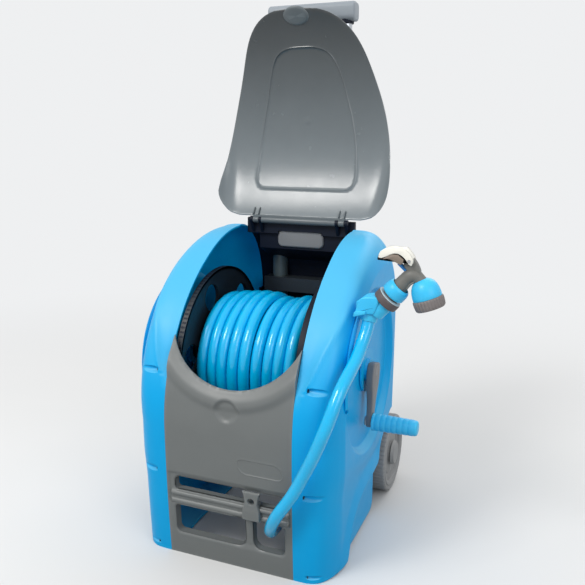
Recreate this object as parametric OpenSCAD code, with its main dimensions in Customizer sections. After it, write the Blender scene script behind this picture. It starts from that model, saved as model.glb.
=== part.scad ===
// Hose reel cart with a lid, a telescopic handle, two wheels and a spray gun on its side.
// The lid stands open and the handle is drawn out. The origin is the middle of the front
// sill's underside, X points right, Y back and Z up.

/* [Body] */
// Half of the outside width over the two side shells
shell_half_w = 150; // [146:1:156]
// Half of the width between the rim edges of the shells
mouth_half_w = 93; // [91:1:96]
// Height of the shells' top edge
top_h = 437; // [432:1:439]
// Height at which the front stands furthest forward
belly_z = 190; // [180:1:200]
// How far the front stands forward there
belly_out = 15; // [12:1:18]
// How far the front stands forward at the sill
sill_out = 8; // [6:1:10]
// Distance of the shells' highest line from the origin
crest_y = 225; // [222:1:228]
// Depth of the shells' upper back corner
back_depth = 85; // [84:1:88]
// Height of that corner
back_drop = 116; // [108:1:122]
// Exponent of the front curve, where 1 is an ellipse
crown_e = 1.04; // [1:0.01:1.1]
// Thickness of the moulded walls
wall = 3; // [2.4:0.1:3.4]
// How far the shells roll in at the front, from rim edge to side
roll_front = 42; // [36:1:44]
// How far they roll in at the top
roll_top = 45; // [38:1:48]
// How far they roll in at the back
roll_back = 34; // [30:1:38]
// Radius of the round dish behind the crank
dish_r = 118; // [112:1:122]
// Depth of that dish
dish_depth = 9; // [5:0.5:11]
// Height of the step above the lower skirt
step_h = 85; // [78:1:92]
// Depth of the skirt's recess at the wheel
step_depth = 8; // [4:0.5:10]
// Gap round the wheel in its arch
arch_gap = 21; // [17:1:24]

/* [Front panel] */
// Half of the width of the scooped front edge
scoop_half_w = 100; // [97:1:106]
// Depth of that scoop
scoop_drop = 94; // [88:1:98]
// Depth of the scoop's centre below the crest
scoop_down = 92; // [87:1:95]
// Half of the width of the window
window_half_w = 82; // [78:1:84]
// Height of the window's sill
window_low = 33; // [28:1:38]
// Height of the window's top
window_high = 119; // [114:1:124]
// Height of the guide rail's middle
rail_z = 87; // [84:1:90]
// Distance between the two beads of the rail
rail_step = 12; // [11:0.5:13]
// Radius of each bead
bead_r = 4; // [3:0.25:4.5]
// Place of the window's post from the middle
post_x = 30; // [26:1:34]
// Width of that post
post_w = 12; // [8:1:14]
// Width of the hose guide clip
clip_w = 25; // [20:1:28]
// Place of the clip from the middle
clip_x = 36; // [32:0.5:37]
// Diameter of the clip's hole
clip_hole_d = 9; // [6:0.5:11]

/* [Drum] */
// Distance of the drum's axis from the origin
drum_y = 145; // [143:1:147]
// Height of the drum's axis
drum_z = 251; // [249:1:253]
// Radius of the drum's flanges
flange_r = 131; // [124:1:132]
// Distance of the flanges' outer faces from the middle
flange_x = 90; // [89:0.5:90.5]
// Thickness of a flange
flange_t = 5; // [3:0.5:5.5]
// Radius of a flange's round holes
flange_hole_r = 20; // [12:1:22]
// Number of those holes
flange_holes = 6; // [4:1:6]
// Radius of the drum's barrel
barrel_r = 50; // [40:1:56]
// Radius of the hollow shafts at both ends of the drum
shaft_r = 16; // [13:0.5:18]
// Radius of the water channel
channel_r = 6; // [4.5:0.25:7]
// Radial clearance of the running fits
run_gap = 0.06; // [0.03:0.01:0.09]

/* [Hose] */
// Outside diameter of the hose
hose_d = 16.2; // [15:0.1:16.4]
// Radius of the outer layer of turns, to the middle of the hose
coil_r = 88; // [84:1:92]
// Turns in that layer
coil_turns = 8.9; // [8:0.1:8.9]
// Rings of the coil's tube in one turn
coil_rings = 24; // [16:1:24]

/* [Crank] */
// Length of the crank from the drum's axis to the grip's
crank_l = 72; // [64:1:78]
// How far the crank points forward of straight down, in degrees
crank_lean = 13; // [0:1:30]
// Thickness of the crank arm
arm_t = 9; // [8:0.5:11]
// Radius of the arm round the shaft
arm_big_r = 11.5; // [11:0.5:15]
// Radius of the arm round the grip's pin
arm_small_r = 9; // [8:0.5:10.5]
// Length of the grip
grip_l = 64; // [55:1:75]
// Diameter of the grip at the arm
grip_d = 27; // [23:0.5:29]
// Radius of the grip's pin
pin_r = 4; // [3:0.25:5]

/* [Handle] */
// Height of the grip bar above the crest when drawn out
bar_rise = 319; // [305:1:328]
// Half of the length of the grip bar
bar_half_w = 70; // [68:1:78]
// Diameter of the grip bar
bar_d = 28.5; // [26:0.5:29]
// Distance of the handle's legs from the back
leg_inset = 15.5; // [15.2:0.1:16]
// Distance of each leg from the middle
leg_x = 54; // [52:0.5:56]
// Diameter of a leg
leg_d = 18; // [16:0.25:18.5]
// Wall of a leg
leg_wall = 1.5; // [1:0.1:2]
// Travel of the handle
leg_travel = 255; // [220:1:260]
// Height of the legs' lower ends when the handle is pushed in
leg_low_z = 85; // [80:1:95]
// Sliding gap round a leg
slide_gap = 0.35; // [0.3:0.05:0.5]
// Half of the length of the release button
button_half_w = 36; // [30:1:38]
// Height of the release button
button_h = 24; // [20:1:25]
// Travel of the release button
button_travel = 3; // [2:0.25:3.5]

/* [Lid] */
// Distance of the hinge behind the crest
hinge_back = 12; // [11:0.5:13]
// Height of the hinge above the crest
hinge_rise = 7.5; // [6:0.5:9]
// Distance of each hinge knuckle from the middle
knuckle_x = 71; // [66:1:74]
// Width of a lid knuckle
knuckle_w = 10; // [8:0.5:12]
// Radius of the knuckles
knuckle_r = 5.2; // [5:0.1:5.4]
// Radius of the hinge pins
hinge_pin_r = 2.5; // [2:0.1:3]
// Angle by which the lid stands open
lid_open = 124; // [118:1:125]
// Thickness of the lid
lid_wall = 2.6; // [2:0.1:2.8]
// Gap between the closed lid and the rim
lid_gap = 2.5; // [2.4:0.1:2.8]
// Half of the lid's greatest width
lid_half_w = 139.5; // [134:0.5:141]
// Distance of the closed lid's back edge behind the crest
lid_back = 7; // [5:0.5:8]
// Height of the closed lid's tip above the scoop's foot
lid_tip_rise = 5; // [0:1:11]

/* [Wheels] */
// Distance of the wheel axle from the origin
axle_y = 288; // [285:1:290]
// Radius of a wheel
wheel_r = 63; // [58:1:66]
// Width of a wheel
wheel_w = 34; // [28:1:38]
// Distance by which the wheels stand out of the sides
wheel_out = 2; // [-2:1:6]
// Radius of the wheel axle
axle_r = 5; // [4:0.25:6]

/* [Spray gun] */
// Distance of the spray gun from the origin
gun_y = 62; // [60:0.5:64]
// Distance of the hose's end from the cart's side
gun_out = 18; // [18:0.5:20]
// Depth of the hose's end below the crest
gun_down = 81; // [80:0.5:82]
// Lean of the gun's handle from upright, in degrees
gun_lean = 42; // [42:1:42]
// Length of the gun's handle, to the head's axis
gun_l = 72; // [70:1:76]
// Radius of the blue release collar
collar_r = 15.5; // [14:0.5:17]
// Radius of the spray head
head_r = 19.5; // [17:0.5:21]
// Length of the spray head
head_l = 34; // [32:1:40]
// Further lean of the spray head below the gun's cross axis, in degrees
head_lean = 28; // [24:1:30]

/* [Hidden] */
// Points of the side outline, on the front, the crown and the back corner
front_steps = 6;
crown_steps = 12;
back_steps = 8;
back_y = crest_y + back_depth;
hinge_y = crest_y + hinge_back;
hinge_z = top_h + hinge_rise;
lid_back_y = crest_y + lid_back;
scoop_z = top_h - scoop_down;
lid_tip_z = scoop_z - scoop_drop + lid_tip_rise;
bar_z = top_h + bar_rise;
leg_y = back_y - leg_inset;
wheel_x = shell_half_w + wheel_out;
gun_x = shell_half_w + gun_out;
gun_z = top_h - gun_down;
back_low_z = top_h - back_drop;
arch_r = wheel_r + arch_gap;
axle_z = wheel_r;
rear_low_z = axle_z + wheel_r + 4;
arch_y = axle_y - arch_r;
arch_start = acos((back_y - axle_y) / arch_r);
arch_steps = 9;
side_w = shell_half_w - mouth_half_w;
bush_hole_r = shaft_r + 10;
// Fractions of the way from rim edge to side at which a ring of points is set
OUTER_ROLL = [0, 0.3, 0.55, 0.75, 0.9, 1];
INNER_ROLL = [0, 0.5, 0.8, 1];
floor_x = shell_half_w - dish_depth;
bush_t = wall + 8;
shaft_end = shell_half_w - 2;
arm_x = shaft_end;
grip_x = arm_x + arm_t + 1;
crank_y = drum_y - crank_l * sin(crank_lean);
crank_z = drum_z - crank_l * cos(crank_lean);
coil_pitch = hose_d + 0.5;
coil_half = coil_pitch * coil_turns / 2;
panel_half_w = mouth_half_w - 0.3;
housing_z = top_h - 39;
housing_half_w = leg_x + 17;
housing_top = top_h;
rail_top = hinge_z + 2;
housing_y = hinge_y + 13;
// Side outline of the box round the handle's lock
HOUSING = [[housing_y, housing_z], [housing_y, housing_top], [back_y - 30, housing_top],
    [back_y - 16, housing_top - 5], [back_y - 5, housing_top - 17], [back_y, housing_top - 36],
    [back_y, housing_z - 24], [back_y - 14, housing_z - 24]];
HOLLOW = [[housing_y + wall, housing_z - 1], [housing_y + wall, housing_top - wall],
    [back_y - 31, housing_top - wall], [back_y - 17.5, housing_top - wall - 4.5],
    [back_y - 7.5, housing_top - wall - 15], [back_y - wall, housing_top - wall - 33],
    [back_y - wall, housing_z - 20], [back_y - 12, housing_z - 20]];
button_z = housing_z + 17;
leg_top = bar_z + 6;
leg_l = leg_top - leg_travel - leg_low_z;
socket_r = leg_d / 2 + slide_gap + 3;
socket_low = rear_low_z + 50;
bracket_z = top_h - 97;
shoe_r = 3.6;
shoe_z = button_z - 8;
knuckle_gap = 0.35;
ear_w = 4.5;
bracket_t = 4;
cap_t = 4;
valve_r = 2.6;
trigger_u = -14;
trigger_w = gun_l + 14;
head_u = 11;
spigot_r = channel_r + 5;
seal_r = 1.2;

// Side outline of the cart as points [y, z], first up the front and then over the top
function front_at(z) = -sill_out - (belly_out - sill_out) * (1 - pow(1 - z / belly_z, 2));
function crown_at(t) = [crest_y - (crest_y + belly_out) * pow(max(cos(t), 0), crown_e),
    belly_z + (top_h - belly_z) * pow(sin(t), crown_e)];
function back_at(a) = [crest_y + back_depth * cos(a), back_low_z + back_drop * sin(a)];
function front_points() = [for (i = [0:front_steps - 1]) let (z = belly_z * i / front_steps)
    [front_at(z), z]];
function crown_points() = [for (i = [0:crown_steps]) crown_at(90 * i / crown_steps)];
function back_points() = [for (i = [1:back_steps]) back_at(90 - 90 * i / back_steps)];

// Samples round the whole shell: [point, roll depth, roll exponent, depth of the recess, step height]
function crown_roll(u) = roll_front + (roll_top - roll_front) * u - 12 * sin(180 * u);
function skirt_step(y) = step_h * (1 - exp(-(y - 50) / 28));
function skirt_depth(y) = 2 + (step_depth - 2) * (y - 50) / (arch_y - 50);
function samples() = concat(
    [for (p = front_points()) [p, roll_front, 4, 0, 0]],
    [for (i = [0:crown_steps]) let (u = i / crown_steps)
        [crown_at(90 * u), crown_roll(u), 4 + 3 * sin(180 * u) - 0.5 * u, 0, 0]],
    [for (i = [1:back_steps]) let (u = i / back_steps)
        [back_at(90 - 90 * u), roll_top + (roll_back - roll_top) * u, 3.5, 0, 0]],
    [for (i = [1:3]) let (z0 = axle_z + arch_r * sin(arch_start))
        [[back_y, back_low_z + (z0 - back_low_z) * i / 3], roll_back, 3.5, 0, 0]],
    [for (i = [1:arch_steps]) let (a = 105 + (180 - 105) * (i - 1) / (arch_steps - 1))
        [[axle_y + arch_r * cos(a), axle_z + arch_r * sin(a)], 0, 1,
        a > 160 ? step_depth : 0, a > 160 ? step_h + 6 : 0]],
    [for (z = [36, 12]) [[arch_y, z], 0, 1, step_depth, step_h + 4]],
    [for (i = [0:5]) let (y = arch_y - 12 - (arch_y - 64) * i / 5)
        [[y, 0], 0, 1, skirt_depth(y), skirt_step(y)]]);
SIDE = samples();
SIDE_N = len(SIDE);
function side_point(k) = SIDE[(k + SIDE_N) % SIDE_N][0];
function turned(t) = [t[1], -t[0]] / norm(t);
function inward(k) = turned(side_point(k + 1) - side_point(k - 1));
function roll_way(k) = SIDE[k][1] == 0 ? [0, 0]
    : k == 0 ? [1, 0]
    : SIDE[(k + 1) % SIDE_N][1] == 0 ? [-1, 0]
    : inward(k);
// Corners where the sheet turns sharply keep its thickness on both walls
function sheet_way(k) = k == 0 ? [1, 1]
    : k == SIDE_N - 1 ? [0, 1]
    : SIDE[k][1] > 0 && SIDE[(k + 1) % SIDE_N][1] == 0 ? [-1, 1]
    : inward(k);
function rolled(k, f, skin) = let (s = SIDE[k], d = s[1] * pow(f, s[2]),
    p = s[0] + roll_way(k) * d + sheet_way(k) * skin)
    [mouth_half_w + side_w * f - (f > 0 ? skin : 0) - s[3] * f * f, p[0], p[1]];
function to_axis(p, r) = let (v = [p[1] - drum_y, p[2] - drum_z]) [drum_y, drum_z] + v * (r / norm(v));
function on_ring(k, r, x, skin) = let (p = to_axis(rolled(k, 1, 0), r)) [x - skin, p[0], p[1]];
// The two rings of the skirt's step, or two plain rings where there is no step
function step_ring(k, low, skin) = let (s = SIDE[k], a = rolled(k, 1, 0), q = to_axis(a, dish_r),
    h = s[4] > 0 ? (s[4] - a[2] - (low ? 7 : 0)) / max(q[1] - a[2], 1) : (low ? 0.3 : 0.6),
    t = max(low ? 0.06 : 0.12, h))
    [(s[4] > 0 && low ? a[0] : shell_half_w) - skin,
    a[1] + (q[0] - a[1]) * t, a[2] + (q[1] - a[2]) * t];
function shell_rings(skin, roll) = concat(
    [for (f = roll) [for (k = [0:SIDE_N - 1]) rolled(k, f, skin)]],
    [for (low = [true, false]) [for (k = [0:SIDE_N - 1]) step_ring(k, low, skin)]],
    [[for (k = [0:SIDE_N - 1]) on_ring(k, dish_r, shell_half_w, skin)],
    [for (k = [0:SIDE_N - 1]) on_ring(k, dish_r - 14, floor_x, skin)],
    [for (k = [0:SIDE_N - 1]) on_ring(k, bush_hole_r, floor_x, skin)]]);

// A closed solid from rings of points that run once round through the material
function flat_list(a) = [for (b = a) for (c = b) c];
module ring_solid(rings) {
    n = len(rings[0]);
    m = len(rings);
    polyhedron(points = flat_list(rings), faces = [for (j = [0:m - 1], k = [0:n - 1])
        let (a = j * n + k, b = j * n + (k + 1) % n,
            c = ((j + 1) % m) * n + (k + 1) % n, d = ((j + 1) % m) * n + k)
        each [[a, b, c], [a, c, d]]], convexity = 6);
}
// A tube of n sides along a path, closed with a flat cap at each end
module tube_solid(path, n, r) {
    m = len(path);
    function way(i) = let (v = path[min(i + 1, m - 1)] - path[max(i - 1, 0)]) v / norm(v);
    function side(i) = let (v = cross(way(i), [1, 0, 0])) v / norm(v);
    function spoke(i, j) = let (u = side(i), w = cross(way(i), u), a = 360 * j / n)
        path[i] + r * (cos(a) * u + sin(a) * w);
    polyhedron(points = [for (i = [0:m - 1], j = [0:n - 1]) spoke(i, j)],
        faces = concat([[for (j = [0:n - 1]) j]],
        [for (i = [0:m - 2], j = [0:n - 1]) let (a = i * n + j, b = i * n + (j + 1) % n)
            each [[a, a + n, b + n], [a, b + n, b]]],
        [[for (j = [n - 1:-1:0]) (m - 1) * n + j]]), convexity = 8);
}
module x_cyl(x0, x1, y, z, r, r2 = 0) {
    translate([x0, y, z]) rotate([0, 90, 0])
        cylinder(h = x1 - x0, r1 = r, r2 = r2 > 0 ? r2 : r, $fn = 64);
}
module y_cyl(y0, y1, x, z, r) {
    translate([x, y0, z]) rotate([-90, 0, 0]) cylinder(h = y1 - y0, r = r, $fn = 48);
}
module z_cyl(z0, z1, x, y, r) {
    translate([x, y, z0]) cylinder(h = z1 - z0, r = r, $fn = 48);
}
module mirrored(left) {
    if (left) mirror([1, 0, 0]) children();
    else children();
}
module box(a, b) {
    translate(a) cube(b - a);
}
// Extrudes an outline of points [y, z] from x0 to x1
module side_plate(x0, x1, points) {
    translate([x0, 0, 0]) rotate([90, 0, 90]) linear_extrude(x1 - x0) polygon(points);
}

module side_shell(left) {
    color([0.15, 0.62, 0.88]) mirrored(left) {
        outer = shell_rings(0, OUTER_ROLL);
        inner = shell_rings(wall, INNER_ROLL);
        ring_solid(concat(outer, [for (j = [len(inner) - 1:-1:0]) inner[j]]));
    }
}
function offset_points(pts, d) = [for (k = [0:len(pts) - 1])
    pts[k] + turned(pts[min(k + 1, len(pts) - 1)] - pts[max(k - 1, 0)]) * d];
function reversed(a) = [for (k = [len(a) - 1:-1:0]) a[k]];
module front_sheet(out, in, half) {
    line = concat(front_points(), [for (i = [0:5]) crown_points()[i]]);
    side_plate(-half, half, concat(offset_points(line, out), reversed(offset_points(line, in))));
}
FLANGE_LINE = concat(front_points(), [for (i = [0:2]) crown_points()[i]]);
module scoop(grow, y0, y1) {
    translate([0, y1, scoop_z]) rotate([90, 0, 0])
        linear_extrude(y1 - y0) scale([(scoop_half_w + grow) / (scoop_drop + grow), 1])
            circle(r = scoop_drop + grow, $fn = 96);
}
module front_panel() {
    front_y = front_at(rail_z);
    color([0.41, 0.43, 0.43]) {
        difference() {
            union() {
                front_sheet(0, wall, panel_half_w);
                intersection() {
                    scoop(16, -60, 60);
                    front_sheet(-1.4, wall - 1, panel_half_w - 5);
                }
                box([-panel_half_w, -sill_out + 1, 0], [panel_half_w, sill_out, wall]);
                // Side flanges that the shells are screwed to
                for (s = [0, 1]) mirror([s, 0, 0])
                    side_plate(panel_half_w - wall, panel_half_w, concat(offset_points(FLANGE_LINE, wall - 1),
                        reversed(offset_points(FLANGE_LINE, 17))));
            }
            scoop(0, -60, 60);
            box([-window_half_w, -60, window_low], [window_half_w, 3, window_high]);
            for (s = [0, 1], p = SCREWS) mirror([s, 0, 0])
                x_cyl(panel_half_w - 9, panel_half_w + 9, p[0], p[1], 1.9);
        }
        // Rail of two beads and the post under it
        for (s = [-1, 1])
            x_cyl(-window_half_w - 4, window_half_w + 4, front_y + 5, rail_z + s * rail_step / 2, bead_r);
        box([-window_half_w - 4, front_y + 3.5, rail_z - rail_step / 2],
            [window_half_w + 4, front_y + 6.5, rail_z + rail_step / 2]);
        box([post_x - post_w / 2, front_y + 2, window_low - 2],
            [post_x + post_w / 2, front_y + 8, rail_z - rail_step / 2]);
    }
}
module guide_clip() {
    front_y = front_at(rail_z);
    low = rail_z - rail_step / 2;
    high = rail_z + rail_step / 2;
    back = front_y + 5;
    color([0.45, 0.47, 0.47]) difference() {
        union() {
            box([clip_x - clip_w / 2, back - bead_r - 5, low - 2],
                [clip_x + clip_w / 2, back - bead_r - 0.4, high + 26]);
            box([clip_x - clip_w / 2 + 3, back - bead_r - 3, high + bead_r + 0.5],
                [clip_x + clip_w / 2 - 3, back + bead_r + 3, high + bead_r + 4]);
            box([clip_x - clip_w / 2 + 3, back + bead_r + 0.4, high - 4],
                [clip_x + clip_w / 2 - 3, back + bead_r + 3, high + bead_r + 2]);
        }
        y_cyl(-60, 20, clip_x, high + 12, clip_hole_d / 2);
    }
}
module rear_panel() {
    arc = [for (i = [0:10]) back_at(72 - 7.2 * i)];
    sheet = concat(arc, [[back_y, rear_low_z], [back_y - wall, rear_low_z]],
        [for (i = [10:-1:0]) back_at(72 - 7.2 * i) - wall * [cos(72 - 7.2 * i), sin(72 - 7.2 * i)]]);
    color([0.11, 0.13, 0.16]) difference() {
        union() {
            side_plate(-panel_half_w, panel_half_w, sheet);
            for (s = [0, 1]) mirror([s, 0, 0])
                box([panel_half_w - wall, back_y - 18, rear_low_z + 30], [panel_half_w, back_y - 1, back_low_z]);
            // Raised rail behind the hinge
            side_plate(-panel_half_w + 3, panel_half_w - 3, [[hinge_y + 6, housing_top - 14],
                [hinge_y + 7, rail_top - 1], [hinge_y + 8, rail_top], [hinge_y + 12, rail_top],
                [hinge_y + 13, rail_top - 1], [hinge_y + 14, housing_top - 16]]);
            // Box round the handle's lock
            side_plate(-housing_half_w, housing_half_w, HOUSING);
            for (s = [-1, 1], e = [-1, 1]) {
                x = s * knuckle_x + e * (knuckle_w / 2 + knuckle_gap + ear_w / 2);
                x_cyl(x - ear_w / 2, x + ear_w / 2, hinge_y, hinge_z, knuckle_r);
                side_plate(x - ear_w / 2, x + ear_w / 2, [[hinge_y - knuckle_r * 0.6, hinge_z - knuckle_r * 0.8],
                    [hinge_y + 6, housing_top - 13], [hinge_y + 9, housing_top - 13],
                    [hinge_y + 9, rail_top - 2], [hinge_y + knuckle_r * 0.2, hinge_z + knuckle_r * 0.98]]);
            }
        }
        side_plate(-housing_half_w + wall, housing_half_w - wall, HOLLOW);
        for (s = [-1, 1]) {
            z_cyl(housing_z - 99, housing_top + 9, s * leg_x, leg_y, socket_r + 0.1);
            x_cyl(s * knuckle_x - 20, s * knuckle_x + 20, hinge_y, hinge_z, hinge_pin_r + run_gap);
        }
        for (s = [0, 1], p = SCREWS) mirror([s, 0, 0])
            x_cyl(panel_half_w - 9, panel_half_w + 9, p[0], p[1], 1.9);
        box([-button_half_w - 0.4, housing_y - 9, button_z - button_h / 2 - 0.4],
            [button_half_w + 0.4, housing_y + 9, button_z + button_h / 2 + 0.4]);
    }
}
module handle_socket(left) {
    color([0.14, 0.16, 0.19]) mirrored(left) difference() {
        union() {
            z_cyl(socket_low, housing_top - 8, leg_x, leg_y, socket_r);
            z_cyl(housing_top - 9, housing_top + 2, leg_x, leg_y, socket_r);
        }
        z_cyl(socket_low - 1, housing_top + 20, leg_x, leg_y, leg_d / 2 + slide_gap);
        x_cyl(leg_x - 30, leg_x, leg_y, shoe_z, shoe_r + 0.3);
    }
}
module socket_bracket() {
    color([0.14, 0.16, 0.19]) difference() {
        union() {
            box([-leg_x - 22, leg_y - socket_r - 5, bracket_z], [leg_x + 22, back_y - wall - 3.2, bracket_z + 5]);
            box([-leg_x - 22, leg_y - socket_r - 5, bracket_z - 18], [leg_x + 22, leg_y - socket_r - 2, bracket_z + 1]);
        }
        for (s = [-1, 1]) z_cyl(bracket_z - 40, bracket_z + 9, s * leg_x, leg_y, socket_r + 0.1);
    }
}
module axle_bracket(left) {
    color([0.14, 0.16, 0.19]) mirrored(left) difference() {
        union() {
            intersection() {
                x_cyl(mouth_half_w - bracket_t, mouth_half_w, axle_y, axle_z, arch_r + 8);
                box([0, 0, 0], [shell_half_w, back_y - wall - 0.2, top_h]);
            }
            x_cyl(mouth_half_w - bracket_t - 8, mouth_half_w + 6, axle_y, axle_z, axle_r + 7);
        }
        x_cyl(0, 200, axle_y, axle_z, axle_r + 0.1);
    }
}
module wheel_axle() {
    color([0.6, 0.6, 0.62]) x_cyl(-wheel_x - 3, wheel_x + 3, axle_y, axle_z, axle_r);
}
module axle_caps() {
    color([0.3, 0.3, 0.32]) for (s = [0, 1]) mirror([s, 0, 0]) difference() {
        x_cyl(wheel_x + 0.4, wheel_x + 2, axle_y, axle_z, axle_r + 5);
        x_cyl(0, 200, axle_y, axle_z, axle_r + 0.02);
    }
}
module wheel(left) {
    hub_r = axle_r + 8;
    inner_x = wheel_x - wheel_w;
    color([0.5, 0.51, 0.52]) mirrored(left) difference() {
        union() {
            difference() {
                x_cyl(inner_x, wheel_x, axle_y, axle_z, wheel_r);
                x_cyl(wheel_x - 5, wheel_x + 1, axle_y, axle_z, wheel_r - 17);
                x_cyl(inner_x - 1, wheel_x - 9, axle_y, axle_z, wheel_r - 8);
            }
            x_cyl(mouth_half_w + 6.5, wheel_x, axle_y, axle_z, hub_r);
            for (a = [0:60:300]) translate([0, axle_y, axle_z]) rotate([a, 0, 0])
                box([inner_x + 4, -2, hub_r - 1], [wheel_x - 8.5, 2, wheel_r - 7]);
        }
        x_cyl(0, 200, axle_y, axle_z, axle_r + run_gap);
    }
}
module wheel_cap(left) {
    color([0.35, 0.36, 0.38]) mirrored(left) difference() {
        x_cyl(wheel_x - 1, wheel_x + cap_t, axle_y, axle_z, axle_r + 15, axle_r + 12);
        x_cyl(wheel_x - 2, wheel_x + 3.3, axle_y, axle_z, axle_r + 8.2);
    }
}
module bearing_bush(left) {
    color([0.15, 0.6, 0.86]) mirrored(left) difference() {
        union() {
            x_cyl(floor_x - bush_t, floor_x + 1.5, drum_y, drum_z, bush_hole_r - 1.2);
            x_cyl(floor_x + 0.1, floor_x + 2.5, drum_y, drum_z, bush_hole_r + 5);
            x_cyl(floor_x - wall - 2.5, floor_x - wall - 0.1, drum_y, drum_z, bush_hole_r + 3);
        }
        x_cyl(0, 200, drum_y, drum_z, shaft_r + run_gap);
    }
}
// Places of the screws and bosses that join a shell to the front and rear panels
SCREWS = [for (z = [belly_z - 130, belly_z - 65, belly_z + 45])
        [front_at(min(z, belly_z)) + wall + 8 + (z > belly_z ? 4 : 0), z],
    for (z = [rear_low_z + 50, back_low_z - 26]) [back_y - wall - 7.5, z]];
module shell_screws() {
    color([0.2, 0.2, 0.22]) for (s = [0, 1], p = SCREWS) mirror([s, 0, 0]) {
        x_cyl(panel_half_w - wall - 2, mouth_half_w + 12, p[0], p[1], 1.8);
        x_cyl(panel_half_w - wall - 2.5, panel_half_w - wall - 0.02, p[0], p[1], 3.6);
    }
}
module screw_bosses() {
    color([0.15, 0.6, 0.86]) for (s = [0, 1], p = SCREWS) mirror([s, 0, 0]) difference() {
        x_cyl(mouth_half_w + 0.1, mouth_half_w + 16, p[0], p[1], 5.2);
        x_cyl(mouth_half_w - 1, mouth_half_w + 13, p[0], p[1], 1.85);
    }
}
module hinge_pins() {
    half = knuckle_w / 2 + knuckle_gap + ear_w;
    color([0.7, 0.7, 0.72]) for (s = [-1, 1])
        x_cyl(s * knuckle_x - half, s * knuckle_x + half, hinge_y, hinge_z, hinge_pin_r);
}

// Rows of the lid from its tip to the crest, as fractions of the way
LID_ROWS = [0, 0.01, 0.03, 0.06, 0.1, 0.15, 0.21, 0.28, 0.36, 0.45, 0.54, 0.63, 0.72, 0.8, 0.87, 0.93, 1];
LID_ACROSS = [-1, -0.93, -0.83, -0.7, -0.5, -0.25, 0, 0.25, 0.5, 0.7, 0.83, 0.93, 1];
lid_t0 = asin(pow((lid_tip_z - belly_z) / (top_h - belly_z), 1 / crown_e));
function lid_t(k) = lid_t0 + (90 - lid_t0) * LID_ROWS[k];
function lid_a(k) = acos((lid_back_y - crest_y) * k / 2 / back_depth);
LID = concat([for (k = [0:len(LID_ROWS) - 1]) crown_at(lid_t(k))], [for (k = [1, 2]) back_at(lid_a(k))]);
// Half of the lid's width at a row
function lid_half(k) = let (u = k < len(LID_ROWS) ? min(1.19 * LID_ROWS[k], 1) : 1,
    q = min(max((LID[k][0] - lid_back_y + 38) / 38, 0), 1))
    k == 0 ? 18 : lid_half_w * pow(1 - pow(1 - u, 1.25), 0.27) - 39 * (1 - sqrt(1 - q * q));
function lid_out(k) = -turned(LID[min(k + 1, len(LID) - 1)] - LID[max(k - 1, 0)]);
function lid_drop(x, u) = abs(x) < mouth_half_w ? 0
    : crown_roll(u) * pow((abs(x) - mouth_half_w) / side_w, 4 + 3 * sin(180 * u) - 0.5 * u);
function lid_point(k, c, lift) = let (x = lid_half(k) * c,
    u = k < len(LID_ROWS) ? lid_t(k) / 90 : 1,
    p = LID[k] + lid_out(k) * (lid_gap + lift - lid_drop(x, u))) [x, p[0], p[1]];
module lid_skin() {
    n = len(LID_ACROSS);
    m = len(LID);
    top = [for (k = [0:m - 1]) for (c = LID_ACROSS) lid_point(k, c, lid_wall)];
    low = [for (k = [0:m - 1]) for (c = LID_ACROSS) lid_point(k, c, 0)];
    s = n * m;
    polyhedron(points = concat(top, low), faces = concat(
        [for (k = [0:m - 2], j = [0:n - 2]) let (a = k * n + j)
            each [[a, a + n, a + n + 1], [a, a + n + 1, a + 1]]],
        [for (k = [0:m - 2], j = [0:n - 2]) let (a = s + k * n + j)
            each [[a, a + n + 1, a + n], [a, a + 1, a + n + 1]]],
        [for (j = [0:n - 2]) each [[j, j + 1, s + j + 1], [j, s + j + 1, s + j]]],
        [for (j = [0:n - 2]) let (a = (m - 1) * n + j)
            each [[a, s + a, s + a + 1], [a, s + a + 1, a + 1]]],
        [for (k = [0:m - 2]) let (a = k * n) each [[a, s + a, s + a + n], [a, s + a + n, a + n]]],
        [for (k = [0:m - 2]) let (a = k * n + n - 1)
            each [[a, a + n, s + a + n], [a, s + a + n, s + a]]]), convexity = 4);
}
module lid_closed() {
    lid_skin();
    back = LID[len(LID) - 1] + lid_out(len(LID) - 1) * (lid_gap + lid_wall / 2);
    edge = knuckle_w / 2 + 2 * knuckle_gap + ear_w;
    for (x = [[-knuckle_x + edge, knuckle_x - edge], [knuckle_x + edge, knuckle_x + edge + 8],
        [-knuckle_x - edge - 8, -knuckle_x - edge]])
        side_plate(x[0], x[1], [[back[0] - 3, back[1] + 1.4], [hinge_y - 3.6, hinge_z - 0.5],
            [hinge_y - 2, hinge_z], [hinge_y - 0.6, hinge_z - 1.6], [back[0], back[1] - 1.4]]);
    for (s = [-1, 1]) difference() {
        union() {
            x_cyl(s * knuckle_x - knuckle_w / 2, s * knuckle_x + knuckle_w / 2, hinge_y, hinge_z, knuckle_r);
            side_plate(s * knuckle_x - knuckle_w / 2, s * knuckle_x + knuckle_w / 2, [
                [hinge_y + 3, hinge_z - 4.8], [hinge_y - 4.5, hinge_z + 3.5], [back[0] - 16, back[1] + 1],
                [back[0] - 12, back[1] - 0.5], [back[0], back[1] - 1]]);
        }
        x_cyl(s * knuckle_x - 20, s * knuckle_x + 20, hinge_y, hinge_z, hinge_pin_r + run_gap);
    }
}
module lid() {
    color([0.43, 0.45, 0.46]) translate([0, hinge_y, hinge_z]) rotate([-lid_open, 0, 0])
        translate([0, -hinge_y, -hinge_z]) lid_closed();
}

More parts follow.
